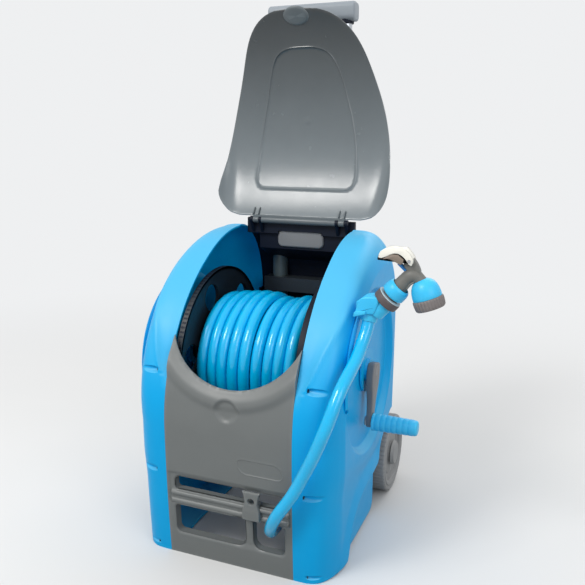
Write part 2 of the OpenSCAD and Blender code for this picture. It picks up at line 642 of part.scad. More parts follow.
module handle_tube(left) {
    color([0.62, 0.62, 0.65]) mirrored(left) difference() {
        z_cyl(leg_top - leg_l, leg_top, leg_x, leg_y, leg_d / 2);
        z_cyl(leg_top - leg_l - 1, leg_top + 1, leg_x, leg_y, leg_d / 2 - leg_wall);
    }
}
module handle_grip() {
    color([0.6, 0.6, 0.64]) difference() {
        union() {
            x_cyl(-bar_half_w + 4, bar_half_w - 4, leg_y, bar_z, bar_d / 2);
            x_cyl(bar_half_w - 4, bar_half_w, leg_y, bar_z, bar_d / 2, bar_d / 2 - 3);
            mirror([1, 0, 0]) x_cyl(bar_half_w - 4, bar_half_w, leg_y, bar_z, bar_d / 2, bar_d / 2 - 3);
            for (s = [-1, 1]) z_cyl(bar_z - bar_d / 2 - 10, bar_z, s * leg_x, leg_y, leg_d / 2 + 3);
        }
        for (s = [-1, 1]) z_cyl(bar_z - 60, leg_top + 0.1, s * leg_x, leg_y, leg_d / 2 + 0.05);
    }
}
module tube_plugs() {
    z0 = leg_top - leg_l;
    color([0.15, 0.15, 0.17]) for (s = [-1, 1]) {
        z_cyl(z0 - 3, z0 - 0.02, s * leg_x, leg_y, leg_d / 2);
        z_cyl(z0 - 1, z0 + 12, s * leg_x, leg_y, leg_d / 2 - leg_wall - 0.05);
    }
}
module release_button() {
    color([0.42, 0.44, 0.45]) {
        box([-button_half_w, housing_y - button_travel - 1, button_z - button_h / 2],
            [button_half_w, housing_y + wall + 2, button_z + button_h / 2]);
        box([-button_half_w - 3, housing_y + wall + 0.3, button_z - button_h / 2 - 1.5],
            [button_half_w + 3, housing_y + wall + 2.5, button_z + button_h / 2 + 1.5]);
    }
}
module lock_shoe(left) {
    tip = leg_x - leg_d / 2 - 0.3;
    color([0.25, 0.26, 0.28]) mirrored(left) {
        x_cyl(tip - 14, tip, leg_y, shoe_z, shoe_r);
        x_cyl(tip - 14, tip - 10, leg_y, shoe_z, shoe_r + 3);
    }
}

module drum_barrel() {
    half = flange_x - flange_t;
    color([0.12, 0.14, 0.17]) difference() {
        x_cyl(-half, half, drum_y, drum_z, barrel_r);
        x_cyl(-half - 1, half + 1, drum_y, drum_z, barrel_r - wall);
    }
}
module drum_flange(left) {
    color([0.1, 0.12, 0.15]) mirrored(left) difference() {
        union() {
            x_cyl(flange_x - flange_t, flange_x, drum_y, drum_z, flange_r);
            x_cyl(flange_x, flange_x + 4, drum_y, drum_z, shaft_r + 10);
            difference() {
                x_cyl(flange_x - flange_t - 1.5, flange_x + 1, drum_y, drum_z, flange_r);
                x_cyl(0, 200, drum_y, drum_z, flange_r - 4);
            }
        }
        for (i = [0:flange_holes - 1]) translate([0, drum_y, drum_z]) rotate([360 / flange_holes * i + 20, 0, 0])
            x_cyl(0, 200, 0, flange_r - 14 - flange_hole_r, flange_hole_r);
        x_cyl(0, 200, drum_y, drum_z, shaft_r + 0.02);
    }
}
// Inner layers of hose, plain, under the wound outer layer
module hose_core() {
    half = flange_x - flange_t - 2.5;
    color([0.04, 0.62, 0.85]) difference() {
        x_cyl(-half, half, drum_y, drum_z, coil_r - hose_d / 2 - 1.3);
        x_cyl(-half - 1, half + 1, drum_y, drum_z, barrel_r + 0.2);
    }
}
function coil_at(a) = [-coil_half + coil_pitch * (a / 360),
    drum_y - coil_r * cos(a), drum_z + coil_r * sin(a)];
COIL_STEPS = ceil(coil_turns * coil_rings);
COIL = [for (i = [0:COIL_STEPS]) coil_at(360 * coil_turns * i / COIL_STEPS)];
module hose_coil() {
    color([0.04, 0.68, 0.91]) tube_solid(COIL, 6, hose_d / 2);
    near = min([for (i = [0:4:COIL_STEPS - coil_rings]) for (j = [-2:2])
        let (k = min(COIL_STEPS, i + coil_rings + j)) norm(COIL[i] - COIL[k])]);
    echo(least_gap_between_turns = near - hose_d);
}
module water_shaft() {
    end = shell_half_w + 2;
    color([0.2, 0.22, 0.24]) mirror([1, 0, 0]) difference() {
        union() {
            x_cyl(flange_x - 14, end, drum_y, drum_z, shaft_r);
            x_cyl(end - 1, end + 15, drum_y, drum_z, spigot_r);
        }
        x_cyl(flange_x - 10, end + 16, drum_y, drum_z, channel_r);
        difference() {
            x_cyl(end + 6, end + 6 + 2.4 * seal_r, drum_y, drum_z, spigot_r + 1);
            x_cyl(end, end + 16, drum_y, drum_z, spigot_r - 2 * seal_r - 0.1);
        }
    }
}
module shaft_seals() {
    x0 = shell_half_w + 2 + 6 + 1.2 * seal_r;
    color([0.08, 0.08, 0.08]) translate([-x0, drum_y, drum_z]) rotate([0, 90, 0])
        rotate_extrude($fn = 64) translate([spigot_r - seal_r, 0]) circle(r = seal_r, $fn = 24);
}
module crank_shaft() {
    color([0.2, 0.22, 0.24]) difference() {
        x_cyl(flange_x - 14, shaft_end - 0.02, drum_y, drum_z, shaft_r);
        x_cyl(flange_x - 15, shaft_end - 12, drum_y, drum_z, shaft_r - 4);
        x_cyl(shaft_end - 13, shaft_end + 1, drum_y, drum_z, 3);
    }
}
module crank_arm() {
    lean = crank_lean + asin((arm_big_r - arm_small_r) / crank_l);
    lean2 = crank_lean - asin((arm_big_r - arm_small_r) / crank_l);
    function edge(y, z, r, a) = [y + r * cos(a), z + r * sin(a)];
    color([0.42, 0.42, 0.44]) difference() {
        union() {
            x_cyl(arm_x, arm_x + arm_t, drum_y, drum_z, arm_big_r);
            x_cyl(arm_x, arm_x + arm_t, crank_y, crank_z, arm_small_r);
            side_plate(arm_x + 1, arm_x + arm_t, [edge(drum_y, drum_z, arm_big_r, -lean2),
                edge(drum_y, drum_z, arm_big_r, 180 - lean), edge(crank_y, crank_z, arm_small_r, 180 - lean),
                edge(crank_y, crank_z, arm_small_r, -lean2)]);
        }
        x_cyl(arm_x - 1, arm_x + arm_t + 1, drum_y, drum_z, 3.2);
        x_cyl(arm_x + arm_t - 3, arm_x + arm_t + 1, drum_y, drum_z, arm_big_r - 4);
        x_cyl(arm_x - 1, arm_x + arm_t + 1, crank_y, crank_z, pin_r + 0.05);
    }
}
module crank_cap() {
    color([0.3, 0.3, 0.32]) {
        x_cyl(arm_x + arm_t - 2.98, arm_x + arm_t + 0.5, drum_y, drum_z, arm_big_r - 4.1);
        x_cyl(shaft_end - 11, arm_x + arm_t - 2, drum_y, drum_z, 2.9);
    }
}
module grip_pin() {
    color([0.7, 0.7, 0.72]) {
        x_cyl(arm_x + 1, grip_x + grip_l - 8, crank_y, crank_z, pin_r);
        x_cyl(arm_x - 1.5, arm_x - 0.02, crank_y, crank_z, pin_r + 2.5);
        x_cyl(arm_x - 0.5, arm_x + 2, crank_y, crank_z, pin_r);
    }
}
module crank_grip() {
    color([0.17, 0.66, 0.9]) difference() {
        union() {
            x_cyl(grip_x, grip_x + grip_l - 4, crank_y, crank_z, grip_d / 2, grip_d / 2 - 1.6);
            x_cyl(grip_x + grip_l - 4, grip_x + grip_l, crank_y, crank_z, grip_d / 2 - 1.6, grip_d / 2 - 4);
        }
        x_cyl(grip_x - 1, grip_x + grip_l - 7.5, crank_y, crank_z, pin_r + run_gap);
    }
}
module inlet_elbow() {
    end = shell_half_w + 2;
    color([0.42, 0.44, 0.45]) mirror([1, 0, 0]) difference() {
        union() {
            x_cyl(end + 0.4, end + 25, drum_y, drum_z, spigot_r + 4);
            z_cyl(drum_z - 30, drum_z - 3, end + 12, drum_y, channel_r + 4);
        }
        x_cyl(end, end + 16, drum_y, drum_z, spigot_r + run_gap);
        z_cyl(drum_z - 31, drum_z - 2, end + 12, drum_y, channel_r);
    }
}
module inlet_nipple() {
    x = shell_half_w + 14;
    z = drum_z - 30;
    color([0.45, 0.47, 0.48]) mirror([1, 0, 0]) difference() {
        union() {
            z_cyl(z - 6, z - 0.02, x, drum_y, channel_r + 4);
            z_cyl(z - 20, z - 5, x, drum_y, 7.9);
            z_cyl(z - 30, z - 24, x, drum_y, 7.9);
            z_cyl(z - 30, z - 10, x, drum_y, 6.6);
        }
        z_cyl(z - 31, z + 1, x, drum_y, channel_r - 1.2);
    }
}
module inlet_nut() {
    x = shell_half_w + 14;
    z = drum_z - 30;
    color([0.17, 0.66, 0.9]) mirror([1, 0, 0]) difference() {
        z_cyl(z - 5.5, z + 9, x, drum_y, channel_r + 8);
        z_cyl(z - 6, z + 10, x, drum_y, channel_r + 4.35);
    }
}

// The spray gun is drawn upright and then leaned: its handle runs up from the hose's end,
// its head points to +X and its trigger is on the -X side
module gun_frame() {
    translate([gun_x + 2, gun_y, gun_z - 3]) rotate([0, gun_lean, 0]) children();
}
module gun_holder() {
    color([0.3, 0.74, 0.93]) difference() {
        union() {
            box([shell_half_w + 0.02, gun_y - 15, gun_z + 1], [gun_x - 4, gun_y + 15, gun_z + 19]);
            y_cyl(gun_y - 15, gun_y + 15, gun_x - 4, gun_z + 10, 9);
            // Foot and peg on the shell's shoulder
            side_plate(shell_half_w + 0.3, shell_half_w + 8, [[gun_y - 4, gun_z + 2],
                [gun_y - 4, gun_z + 14], [gun_y + 15, gun_z + 14], [gun_y + 20, gun_z - 4],
                [gun_y + 14, gun_z - 13], [gun_y + 6, gun_z - 11]]);
            x_cyl(shell_half_w - 10, shell_half_w + 1, gun_y + 13, gun_z - 5, 5.5);
        }
        z_cyl(gun_z - 9, gun_z + 40, gun_x, gun_y, 12.9);
        gun_frame() z_cyl(6, 60, 0, 0, 12.9);
    }
}
module hose_connector() {
    color([0.3, 0.74, 0.93]) difference() {
        union() {
            z_cyl(gun_z, gun_z + 14, gun_x, gun_y, 12.8);
            gun_frame() z_cyl(12, 24, 0, 0, 12.8);
            gun_frame() z_cyl(23, 30, 0, 0, 10.5);
        }
        gun_frame() z_cyl(14, 31, 0, 0, 5);
    }
}
module coupling_ring() {
    color([0.3, 0.3, 0.31]) gun_frame() difference() {
        z_cyl(24.2, 35.5, 0, 0, 17);
        z_cyl(24, 36, 0, 0, 10.7);
    }
}
module release_collar() {
    color([0.25, 0.7, 0.93]) gun_frame() difference() {
        z_cyl(38.5, 54, 0, 0, collar_r);
        z_cyl(35, 56, 0, 0, 11.8);
    }
}
module gun_body() {
    color([0.43, 0.43, 0.41]) gun_frame() difference() {
        union() {
            z_cyl(30.02, 58.5, 0, 0, 10.6);
            hull() {
                z_cyl(57.5, 59.5, -1.5, 0, 12);
                x_cyl(-9, 10.6, 0, gun_l + 2, 15);
            }
            box([trigger_u - 4, -5, trigger_w - 9], [0, 5, trigger_w + 4]);
        }
        y_cyl(-30, 30, trigger_u, trigger_w, 2.1);
        z_cyl(29, gun_l - 6, 0, 0, 5);
        x_cyl(-40, 0, 0, gun_l + 1, valve_r + 0.4);
    }
}
module trigger_pin() {
    color([0.7, 0.7, 0.72]) gun_frame() y_cyl(-10.5, 10.5, trigger_u, trigger_w, 2);
}
// Points [x, z] of the trigger from its hinge to its free end, and its thickness there
TRIGGER = [[3, 0, 2.6], [0, 0.5, 4.2], [-5, 1, 5.6], [-11, 0, 6.3], [-20, -3, 6], [-26, -9, 5.4],
    [-29.5, -17, 4.6], [-29.5, -26, 3]];
function trigger_side(s) = [for (k = [0:len(TRIGGER) - 1]) let (a = TRIGGER[max(k - 1, 0)],
    b = TRIGGER[min(k + 1, len(TRIGGER) - 1)], v = [b[0] - a[0], b[1] - a[1]] / norm([b[0] - a[0], b[1] - a[1]]))
    [trigger_u + TRIGGER[k][0] - s * v[1] * TRIGGER[k][2],
    trigger_w + TRIGGER[k][1] + s * v[0] * TRIGGER[k][2]]];
module trigger_lever() {
    color([0.95, 0.94, 0.9]) gun_frame() difference() {
        translate([0, 10, 0]) rotate([90, 0, 0]) linear_extrude(20)
            polygon(concat(trigger_side(1), reversed(trigger_side(-1))));
        box([-27, -5.4, trigger_w - 14], [40, 5.4, trigger_w + 5.6]);
        y_cyl(-30, 30, trigger_u, trigger_w, 2.06);
    }
}
module valve_stem() {
    color([0.12, 0.5, 0.8]) gun_frame() x_cyl(-22, -6, 0, gun_l + 1, valve_r);
}
// The head leans further down than the gun's cross axis, on a short neck
module head_frame() {
    gun_frame() translate([head_u + 8, 0, gun_l + 3]) rotate([0, 90 + head_lean, 0]) children();
}
module spray_head() {
    color([0.1, 0.58, 0.87]) difference() {
        union() {
            head_frame() rotate_extrude($fn = 64) polygon(concat([[0, 0]],
                [for (a = [0:15:90]) [head_r * sin(a * 0.55 + 40.5), head_l * 0.55 * (1 - cos(a))]],
                [[head_r, head_l * 0.6], [0, head_l * 0.6]]));
            hull() {
                gun_frame() x_cyl(head_u, head_u + 1, 0, gun_l + 2, 11);
                head_frame() cylinder(h = 1, r = 11, $fn = 32);
            }
        }
        head_frame() translate([0, 0, 2]) cylinder(h = head_l, r = 4, $fn = 32);
        gun_frame() x_cyl(head_u - 1, head_u + 8, 0, gun_l + 2, 4);
        head_frame() sphere(r = 4.6, $fn = 32);
    }
}
module nozzle_ring() {
    color([0.45, 0.44, 0.43]) head_frame() difference() {
        translate([0, 0, head_l * 0.6 + 0.02]) cylinder(h = head_l * 0.4, r = head_r - 0.5, $fn = 64);
        translate([0, 0, head_l - 2.5]) cylinder(h = 5, r = head_r - 3.5, $fn = 64);
        for (i = [0:7]) rotate([0, 0, 45 * i]) translate([head_r * 0.55, 0, 0])
            cylinder(h = head_l * 2, r = 1.5, $fn = 16);
    }
}

// Route of the free hose: off the underside of the drum, out through the window and up to the gun
HOSE_ROUTE = [[44, drum_y + 65.4, drum_z - 83.7], [46, drum_y + 43.2, drum_z - 97],
    [48.1, drum_y + 11.1, drum_z - 122.4], [49.6, 120.8, 91.7], [50.3, 79.8, 60.9], [52.9, 36, 51.2],
    [57.7, 4, 57.1], [65.6, -20.1, 75.7], [79, -33, 102.5], [100.6, -33.3, 136.2], [115.2, -32.5, 165.1],
    [gun_x - 37.8, -33.5, gun_z - 158.1], [gun_x - 23.3, -30.8, gun_z - 119],
    [gun_x - 13.8, -10.1, gun_z - 81], [gun_x - 7.5, 28.3, gun_z - 54.3],
    [gun_x - 4.6, gun_y - 14.8, gun_z - 35.2], [gun_x - 1.6, gun_y - 5.1, gun_z - 18],
    [gun_x, gun_y, gun_z - 2.6]];
function bend_at(p, i, t) = let (n = len(p) - 1, a = p[max(i - 1, 0)], b = p[i],
    c = p[min(i + 1, n)], d = p[min(i + 2, n)])
    0.5 * (2 * b + (c - a) * t + (2 * a - 5 * b + 4 * c - d) * t * t
    + (3 * b - a - 3 * c + d) * t * t * t);
module free_hose() {
    last = len(HOSE_ROUTE) - 2;
    path = concat([for (i = [0:last]) for (t = i == 0 || i == last ? [0] : [0, 0.34, 0.67])
        bend_at(HOSE_ROUTE, i, t)], [HOSE_ROUTE[last + 1]]);
    color([0.04, 0.66, 0.9]) tube_solid(path, 10, hose_d / 2);
}

side_shell(true);  // side_shell_left
side_shell(false);  // side_shell_right
front_panel();
rear_panel();
handle_socket(true);  // handle_socket_left
handle_socket(false);  // handle_socket_right
socket_bracket();
axle_bracket(true);  // axle_bracket_left
axle_bracket(false);  // axle_bracket_right
wheel_axle();
axle_caps();
bearing_bush(true);  // bearing_bush_left
bearing_bush(false);  // bearing_bush_right
shell_screws();
screw_bosses();
hinge_pins();
gun_holder();
gun_body();
coupling_ring();
hose_connector();
trigger_pin();
free_hose();
lid();
handle_tube(true);  // handle_tube_left
handle_tube(false);  // handle_tube_right
handle_grip();
tube_plugs();
release_button();
lock_shoe(true);  // lock_shoe_left
lock_shoe(false);  // lock_shoe_right
drum_barrel();
drum_flange(true);  // drum_flange_left
drum_flange(false);  // drum_flange_right
hose_core();
hose_coil();
water_shaft();
crank_shaft();
crank_arm();
crank_cap();
grip_pin();
shaft_seals();
crank_grip();
inlet_elbow();
inlet_nipple();
inlet_nut();
wheel(true);  // wheel_left
wheel(false);  // wheel_right
wheel_cap(true);  // wheel_cap_left
wheel_cap(false);  // wheel_cap_right
guide_clip();
release_collar();
trigger_lever();
valve_stem();
spray_head();
nozzle_ring();
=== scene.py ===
from math import acos, asin, ceil, cos, degrees, exp, pi, radians, sin, sqrt

import bpy
import numpy as np
from mathutils import Matrix, Vector
from mathutils.geometry import delaunay_2d_cdt


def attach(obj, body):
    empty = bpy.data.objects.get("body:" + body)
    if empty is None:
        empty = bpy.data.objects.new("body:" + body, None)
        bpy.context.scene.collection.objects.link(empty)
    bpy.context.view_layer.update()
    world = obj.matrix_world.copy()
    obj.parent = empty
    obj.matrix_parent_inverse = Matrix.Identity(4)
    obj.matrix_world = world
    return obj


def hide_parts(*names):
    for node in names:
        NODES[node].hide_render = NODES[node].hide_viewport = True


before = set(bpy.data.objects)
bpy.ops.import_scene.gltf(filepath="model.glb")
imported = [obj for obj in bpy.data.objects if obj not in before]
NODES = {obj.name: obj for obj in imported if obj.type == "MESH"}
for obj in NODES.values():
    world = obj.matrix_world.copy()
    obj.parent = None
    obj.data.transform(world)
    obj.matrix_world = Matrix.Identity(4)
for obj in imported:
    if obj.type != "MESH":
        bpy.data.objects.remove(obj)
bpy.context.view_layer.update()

MM = 0.001
TURN = 2 * pi
SCENE = bpy.context.scene
SIDES = ((1, "right"), (-1, "left"))

# Camera of the photograph: frame, focal length and optical centre in pixels, angles in degrees, place in metres
PHOTO, FOCAL, CENTRE = 585, 693.1, (293.9, 291.4)
YAW, PITCH, ROLL = (radians(a) for a in (21.97, 12.47, 0.21))
CAMERA_AT = (0.3961, -0.7609, 0.5706)
SENSOR = 36


def add(name, data):
    o = bpy.data.objects.new(name, data)
    SCENE.collection.objects.link(o)
    return o


def camera():
    ahead = Vector((-sin(YAW) * cos(PITCH), cos(YAW) * cos(PITCH), -sin(PITCH)))
    level = Vector((cos(YAW), sin(YAW), 0))
    up = level.cross(ahead)
    right = level * cos(ROLL) + up * sin(ROLL)
    top = up * cos(ROLL) - level * sin(ROLL)
    data = bpy.data.cameras.new("view_camera")
    data.sensor_width = SENSOR
    data.lens = FOCAL * SENSOR / PHOTO
    data.shift_x = (PHOTO / 2 - CENTRE[0]) / PHOTO
    data.shift_y = (CENTRE[1] - PHOTO / 2) / PHOTO
    data.clip_start, data.clip_end = 0.02, 50
    cam = add("view_camera", data)
    m = Matrix((right, top, -ahead)).transposed().to_4x4()
    m.translation = Vector(CAMERA_AT)
    cam.matrix_world = m
    SCENE.camera = cam


camera()


def linear(text):
    c = [int(text[i:i + 2], 16) / 255 for i in (1, 3, 5)]
    return [x / 12.92 if x <= 0.04045 else ((x + 0.055) / 1.055) ** 2.4 for x in c] + [1.0]


def wire(tree, n, *sources, **settings):
    """Sets up a node. Names in lower case are its properties. Sources go to its inputs in their order and
    capitalised names to the inputs of that name, both as a value or as a link from an output."""
    for key in [k for k in settings if k[0].islower()]:
        setattr(n, key, settings.pop(key))
    pairs = list(zip(n.inputs, sources)) + [(n.inputs[k.replace("_", " ")], v) for k, v in settings.items()]
    for socket, value in pairs:
        if isinstance(value, bpy.types.NodeSocket):
            tree.links.new(value, socket)
        else:
            socket.default_value = value
    return n


def node(tree, kind, *sources, **settings):
    """The outputs of a new node."""
    return wire(tree, tree.nodes.new("ShaderNode" + kind), *sources, **settings).outputs


def ramp(tree, factor, stops):
    """The colour that a ramp with stops of (position, colour) gives to a factor."""
    n = wire(tree, tree.nodes.new("ShaderNodeValToRGB"), Fac=factor)
    marks = n.color_ramp.elements
    while len(marks) < len(stops):
        marks.new(0.5)
    for mark, (position, colour) in zip(marks, stops):
        mark.position, mark.color = position, colour
    return n.outputs["Color"]


def grey(k):
    return (k, k, k, 1)


def plastic(name, colour, second, rough, grain, bump, wear_and_edge_highlight, mottle=18, metallic=0.0, coat=0.0, scratch=0.0,
            gloss=0.5, fade=None, bleach=None):
    """A moulded surface: two tones in soft patches, fine moulded grain, uneven gloss and rubbed edges, partly wear and
    partly a painted edge highlight. fade paints shade and light as a brightness for heights in metres, the colour
    given for what faces up is a painted highlight, scratch drawn lines."""
    m = bpy.data.materials.new(name)
    m.use_nodes = True
    t = m.node_tree
    t.nodes.clear()
    spot = node(t, "TexCoord")["Object"]
    a, b = linear(colour), linear(second)
    patches = node(t, "TexNoise", Vector=spot, Scale=mottle, Detail=4.0, Roughness=0.6)["Fac"]
    last = ramp(t, patches, ((0.3, a), (0.72, [(x + y) / 2 for x, y in zip(a, b)])))
    # Rubbed edges: sharp edges turn lighter, partly as wear and partly as a painted edge highlight
    if wear_and_edge_highlight:
        edge = ramp(t, node(t, "NewGeometry")["Pointiness"], ((0.52, grey(0)), (0.6, grey(1))))
        amount = node(t, "Math", edge, wear_and_edge_highlight, operation="MULTIPLY")[0]
        rubbed_and_highlit = [min(1, x * 1.9 + 0.05) for x in a[:3]] + [1.0]
        last = node(t, "Mix", data_type="RGBA", Factor=amount, A=last, B=rubbed_and_highlit)["Result"]
    # Painted shade and light: the colour is darkened by a brightness for each height
    if fade:
        low, high = fade[0][0], fade[-1][0]
        height = node(t, "SeparateXYZ", spot)["Z"]
        share = node(t, "MapRange", Value=height, From_Min=low, From_Max=high)["Result"]
        painted_shade_tone = ramp(t, share, [((z - low) / (high - low), grey(k)) for z, k in fade])
        last = node(t, "VectorMath", last, painted_shade_tone, operation="MULTIPLY")["Vector"]
    # Painted highlight: what faces up takes a lighter colour, for the light from above
    if bleach:
        facing = node(t, "SeparateXYZ", node(t, "NewGeometry")["Normal"])["Z"]
        share = node(t, "MapRange", interpolation_type="SMOOTHSTEP", Value=facing, From_Min=0.14, From_Max=0.72)
        last = node(t, "MixRGB", share["Result"], last, linear(bleach))["Color"]
    uneven = node(t, "TexNoise", Vector=spot, Scale=mottle * 3.1, Detail=3.0)["Fac"]
    sheen = node(t, "MapRange", Value=uneven, To_Min=max(rough - 0.06, 0.03), To_Max=rough + 0.07)
    fine = node(t, "TexNoise", Vector=spot, Scale=grain, Detail=2.0)["Fac"]
    relief = node(t, "Bump", Height=fine, Strength=bump, Distance=0.0004)["Normal"]
    if scratch:
        drawn = node(t, "Mapping", Vector=spot, Scale=(1.0, 1.0, 14.0))["Vector"]
        lines = node(t, "TexNoise", Vector=drawn, Scale=60.0, Detail=6.0, Distortion=1.5)["Fac"]
        relief = node(t, "Bump", Height=lines, Normal=relief, Strength=scratch, Distance=0.0003)["Normal"]
    bsdf = node(t, "BsdfPrincipled", Base_Color=last, Roughness=sheen["Result"], Normal=relief,
                Metallic=metallic, IOR=1.5, Specular_IOR_Level=gloss, Coat_Weight=coat, Coat_Roughness=0.12)
    node(t, "OutputMaterial", bsdf[0])
    return m


# Height in metres and the lid's brightness there, painted shade and light: darker towards the open lid's top, lighter
# towards the hinge at its bottom
LID_PAINTED_SHADE = ((0.45, 1.0), (0.53, 0.92), (0.62, 0.66), (0.7, 0.37), (0.75, 0.24))
# Name, two tones, roughness, scale and depth of the fine grain, wear of the edges, partly a painted edge highlight,
# and what else sets a material apart
MATERIALS = (
    # shell_blue: the lighter colour on upward faces is a painted highlight
    ("shell_blue", "#00A6E4", "#009CDE", 0.38, 1300, 0.06, 0.06, {"bleach": "#4DB4E2", "gloss": 0.2}),
    ("panel_grey", "#6B6F6F", "#636767", 0.4, 1500, 0.16, 0.2, {}),
    ("lid_grey", "#767E82", "#6C7478", 0.24, 1200, 0.05, 0, {"fade": LID_PAINTED_SHADE}),
    ("hinge_grey", "#5A6266", "#50585C", 0.35, 1300, 0.08, 0.2, {}),
    ("navy_black", "#0B1424", "#080F1B", 0.5, 1300, 0.1, 0, {"gloss": 0.2}),
    ("rim_pale", "#B4C4CA", "#A6B8C0", 0.4, 1300, 0.06, 0, {}),
    ("ring_dark", "#564E50", "#484143", 0.5, 1000, 0.15, 0.1, {}),
    ("trim_grey", "#7A7C7E", "#707274", 0.45, 1500, 0.15, 0.2, {}),
    ("black_plastic", "#1C242B", "#151B22", 0.38, 1300, 0.12, 0.25, {}),
    ("rail_grey", "#4A5557", "#3F4A4C", 0.35, 1300, 0.1, 0.15, {}),
    ("flange_black", "#121A22", "#0C131A", 0.45, 1300, 0.1, 0, {}),
    ("knurl_grey", "#76706F", "#5C5756", 0.55, 900, 0.3, 0.2, {}),
    ("arm_grey", "#6A6C70", "#606266", 0.42, 1500, 0.14, 0.2, {}),
    ("handle_silver", "#C2C6CC", "#B4B8BF", 0.3, 2200, 0.05, 0, {"metallic": 0.85, "scratch": 0.08}),
    ("handle_grip_grey", "#8D959D", "#818991", 0.5, 1000, 0.2, 0.1, {}),
    ("steel", "#B4B6BA", "#A2A4A8", 0.28, 1800, 0.05, 0, {"metallic": 1.0, "scratch": 0.05}),
    ("wheel_grey", "#8C8D8E", "#7E8082", 0.55, 900, 0.2, 0.1, {}),
    ("hose_blue", "#00B6EC", "#00AAE4", 0.2, 190, 0.6, 0, {"mottle": 30, "coat": 0.55, "gloss": 0.3}),
    ("fitting_blue", "#3ABEF0", "#2EB3E8", 0.36, 1300, 0.08, 0.1, {"gloss": 0.4}),
    ("gun_grey", "#6C6C68", "#5C5C58", 0.5, 1100, 0.18, 0.15, {}),
    ("rubber_black", "#141416", "#0E0E10", 0.75, 600, 0.3, 0, {}),
    ("lever_white", "#F0EEE4", "#E6E3D8", 0.34, 1300, 0.06, 0, {}),
    ("lever_brown", "#85786C", "#73675C", 0.55, 1100, 0.15, 0, {}),
    ("hole_dark", "#0B1620", "#081018", 0.7, 900, 0.1, 0, {}),
    ("stem_blue", "#1E7FCB", "#1873BC", 0.3, 1300, 0.06, 0, {}),
)
M = {name: plastic(name, *look, **others) for name, *look, others in MATERIALS}


def make(name, shape, mat, body, angle=38, replaces=None):
    """A mesh piece on a body, from points in millimetres and faces. Edges sharper than angle stay sharp, and its
    slot holds its material."""
    verts, faces = shape
    me = bpy.data.meshes.new(name)
    me.from_pydata((np.asarray(verts, float) * MM).tolist(), [], [list(map(int, f)) for f in faces])
    me.validate()
    me.materials.append(M[mat])
    me.polygons.foreach_set("use_smooth", [True] * len(me.polygons))
    me.set_sharp_from_angle(angle=radians(angle))
    me.update()
    o = add(name, me)
    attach(o, body)
    if replaces:
        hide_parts(replaces)
    return o


def bevel(o, width, angle=32):
    b = o.modifiers.new("rounded", "BEVEL")
    b.width = width * MM
    b.segments = 2
    b.limit_method = "ANGLE"
    b.angle_limit = radians(angle)


def ease(x):
    """A smooth step from 0 to 1."""
    x = np.clip(x, 0, 1)
    return x * x * (3 - 2 * x)


def frame_matrix(origin, axis, ref):
    """Columns: ref, axis x ref, axis; a local z points along axis."""
    w = np.array(axis, float) / np.linalg.norm(axis)
    u = np.array(ref, float) - w * np.dot(ref, w)
    u /= np.linalg.norm(u)
    return np.array(origin, float), np.stack([u, np.cross(w, u), w], 1)


def across(y=0, z=0, x=0, s=1):
    """A frame whose local z points to the right (s = 1) or left (s = -1) and whose local x points back."""
    return frame_matrix((x, y, z), (s, 0, 0), (0, 1, 0))


# A frame whose local z points to the front and whose local x points to the right
FACING = frame_matrix((0, 0, 0), (0, -1, 0), (1, 0, 0))


def place(local, spot):
    o, r = spot
    return np.asarray(local, float) @ r.T + o


def ring_faces(rows, n, flip=False):
    """Faces between rows of n points, each row a closed ring."""
    f = []
    for i in range(rows - 1):
        for j in range(n):
            a, b = i * n + j, i * n + (j + 1) % n
            q = [a, b, b + n, a + n]
            f.append(q[::-1] if flip else q)
    return f


def capped_faces(rows, n):
    last = (rows - 1) * n
    return ring_faces(rows, n) + [list(range(n))[::-1], list(range(last, last + n))]


def turned_ring(i, z, r, n, ripple):
    ring = []
    for j in range(n):
        a = TURN * j / n
        k = r * (ripple(i, a) if ripple else 1)
        ring.append((k * cos(a), k * sin(a), z))
    return ring


def lathe(profile, spot, n=64, ripple=None):
    """Turned piece: profile of (along, radius), radius 0 closes an end. ripple(i, angle) scales a ring."""
    verts, faces, rings = [], [], []
    for i, (z, r) in enumerate(profile):
        ring = turned_ring(i, z, r, n, ripple) if r > 0 else [(0, 0, z)]
        rings.append(range(len(verts), len(verts) + len(ring)))
        verts += ring
    for a, b in zip(rings, rings[1:]):
        for j in range(n):
            k = (j + 1) % n
            if len(a) == 1 and len(b) > 1:
                faces.append([a[0], b[k], b[j]])
            elif len(b) == 1 and len(a) > 1:
                faces.append([a[j], a[k], b[0]])
            elif len(a) > 1 and len(b) > 1:
                faces.append([a[j], a[k], b[k], b[j]])
    if len(rings[0]) > 1:
        faces.append(rings[0][::-1])
    if len(rings[-1]) > 1:
        faces.append(rings[-1])
    return place(verts, spot), faces


def ring_lathe(loop, spot, n=72, ripple=None):
    """Turned ring from a closed loop of (along, radius)."""
    verts = [p for i, (z, r) in enumerate(loop) for p in turned_ring(i, z, r, n, ripple)]
    m = (len(loop) - 1) * n
    faces = ring_faces(len(loop), n) + [[m + j, m + (j + 1) % n, (j + 1) % n, j] for j in range(n)]
    return place(verts, spot), faces


def normals(outline):
    """Unit normals of a closed outline, which point outwards if it runs counter-clockwise."""
    p = np.asarray(outline, float)
    t = np.roll(p, -1, 0) - np.roll(p, 1, 0)
    t /= np.maximum(np.linalg.norm(t, axis=1), 1e-9)[:, None]
    return np.stack([t[:, 1], -t[:, 0]], 1)


def offset_line(pts, d):
    return np.asarray(pts, float) + normals(pts) * d


def counter_clockwise(outline):
    p = np.asarray(outline, float)
    q = np.roll(p, -1, 0)
    return outline if (p[:, 0] * q[:, 1] - q[:, 0] * p[:, 1]).sum() >= 0 else outline[::-1]


def points(x, y, z):
    return np.stack([x, y, z], -1)


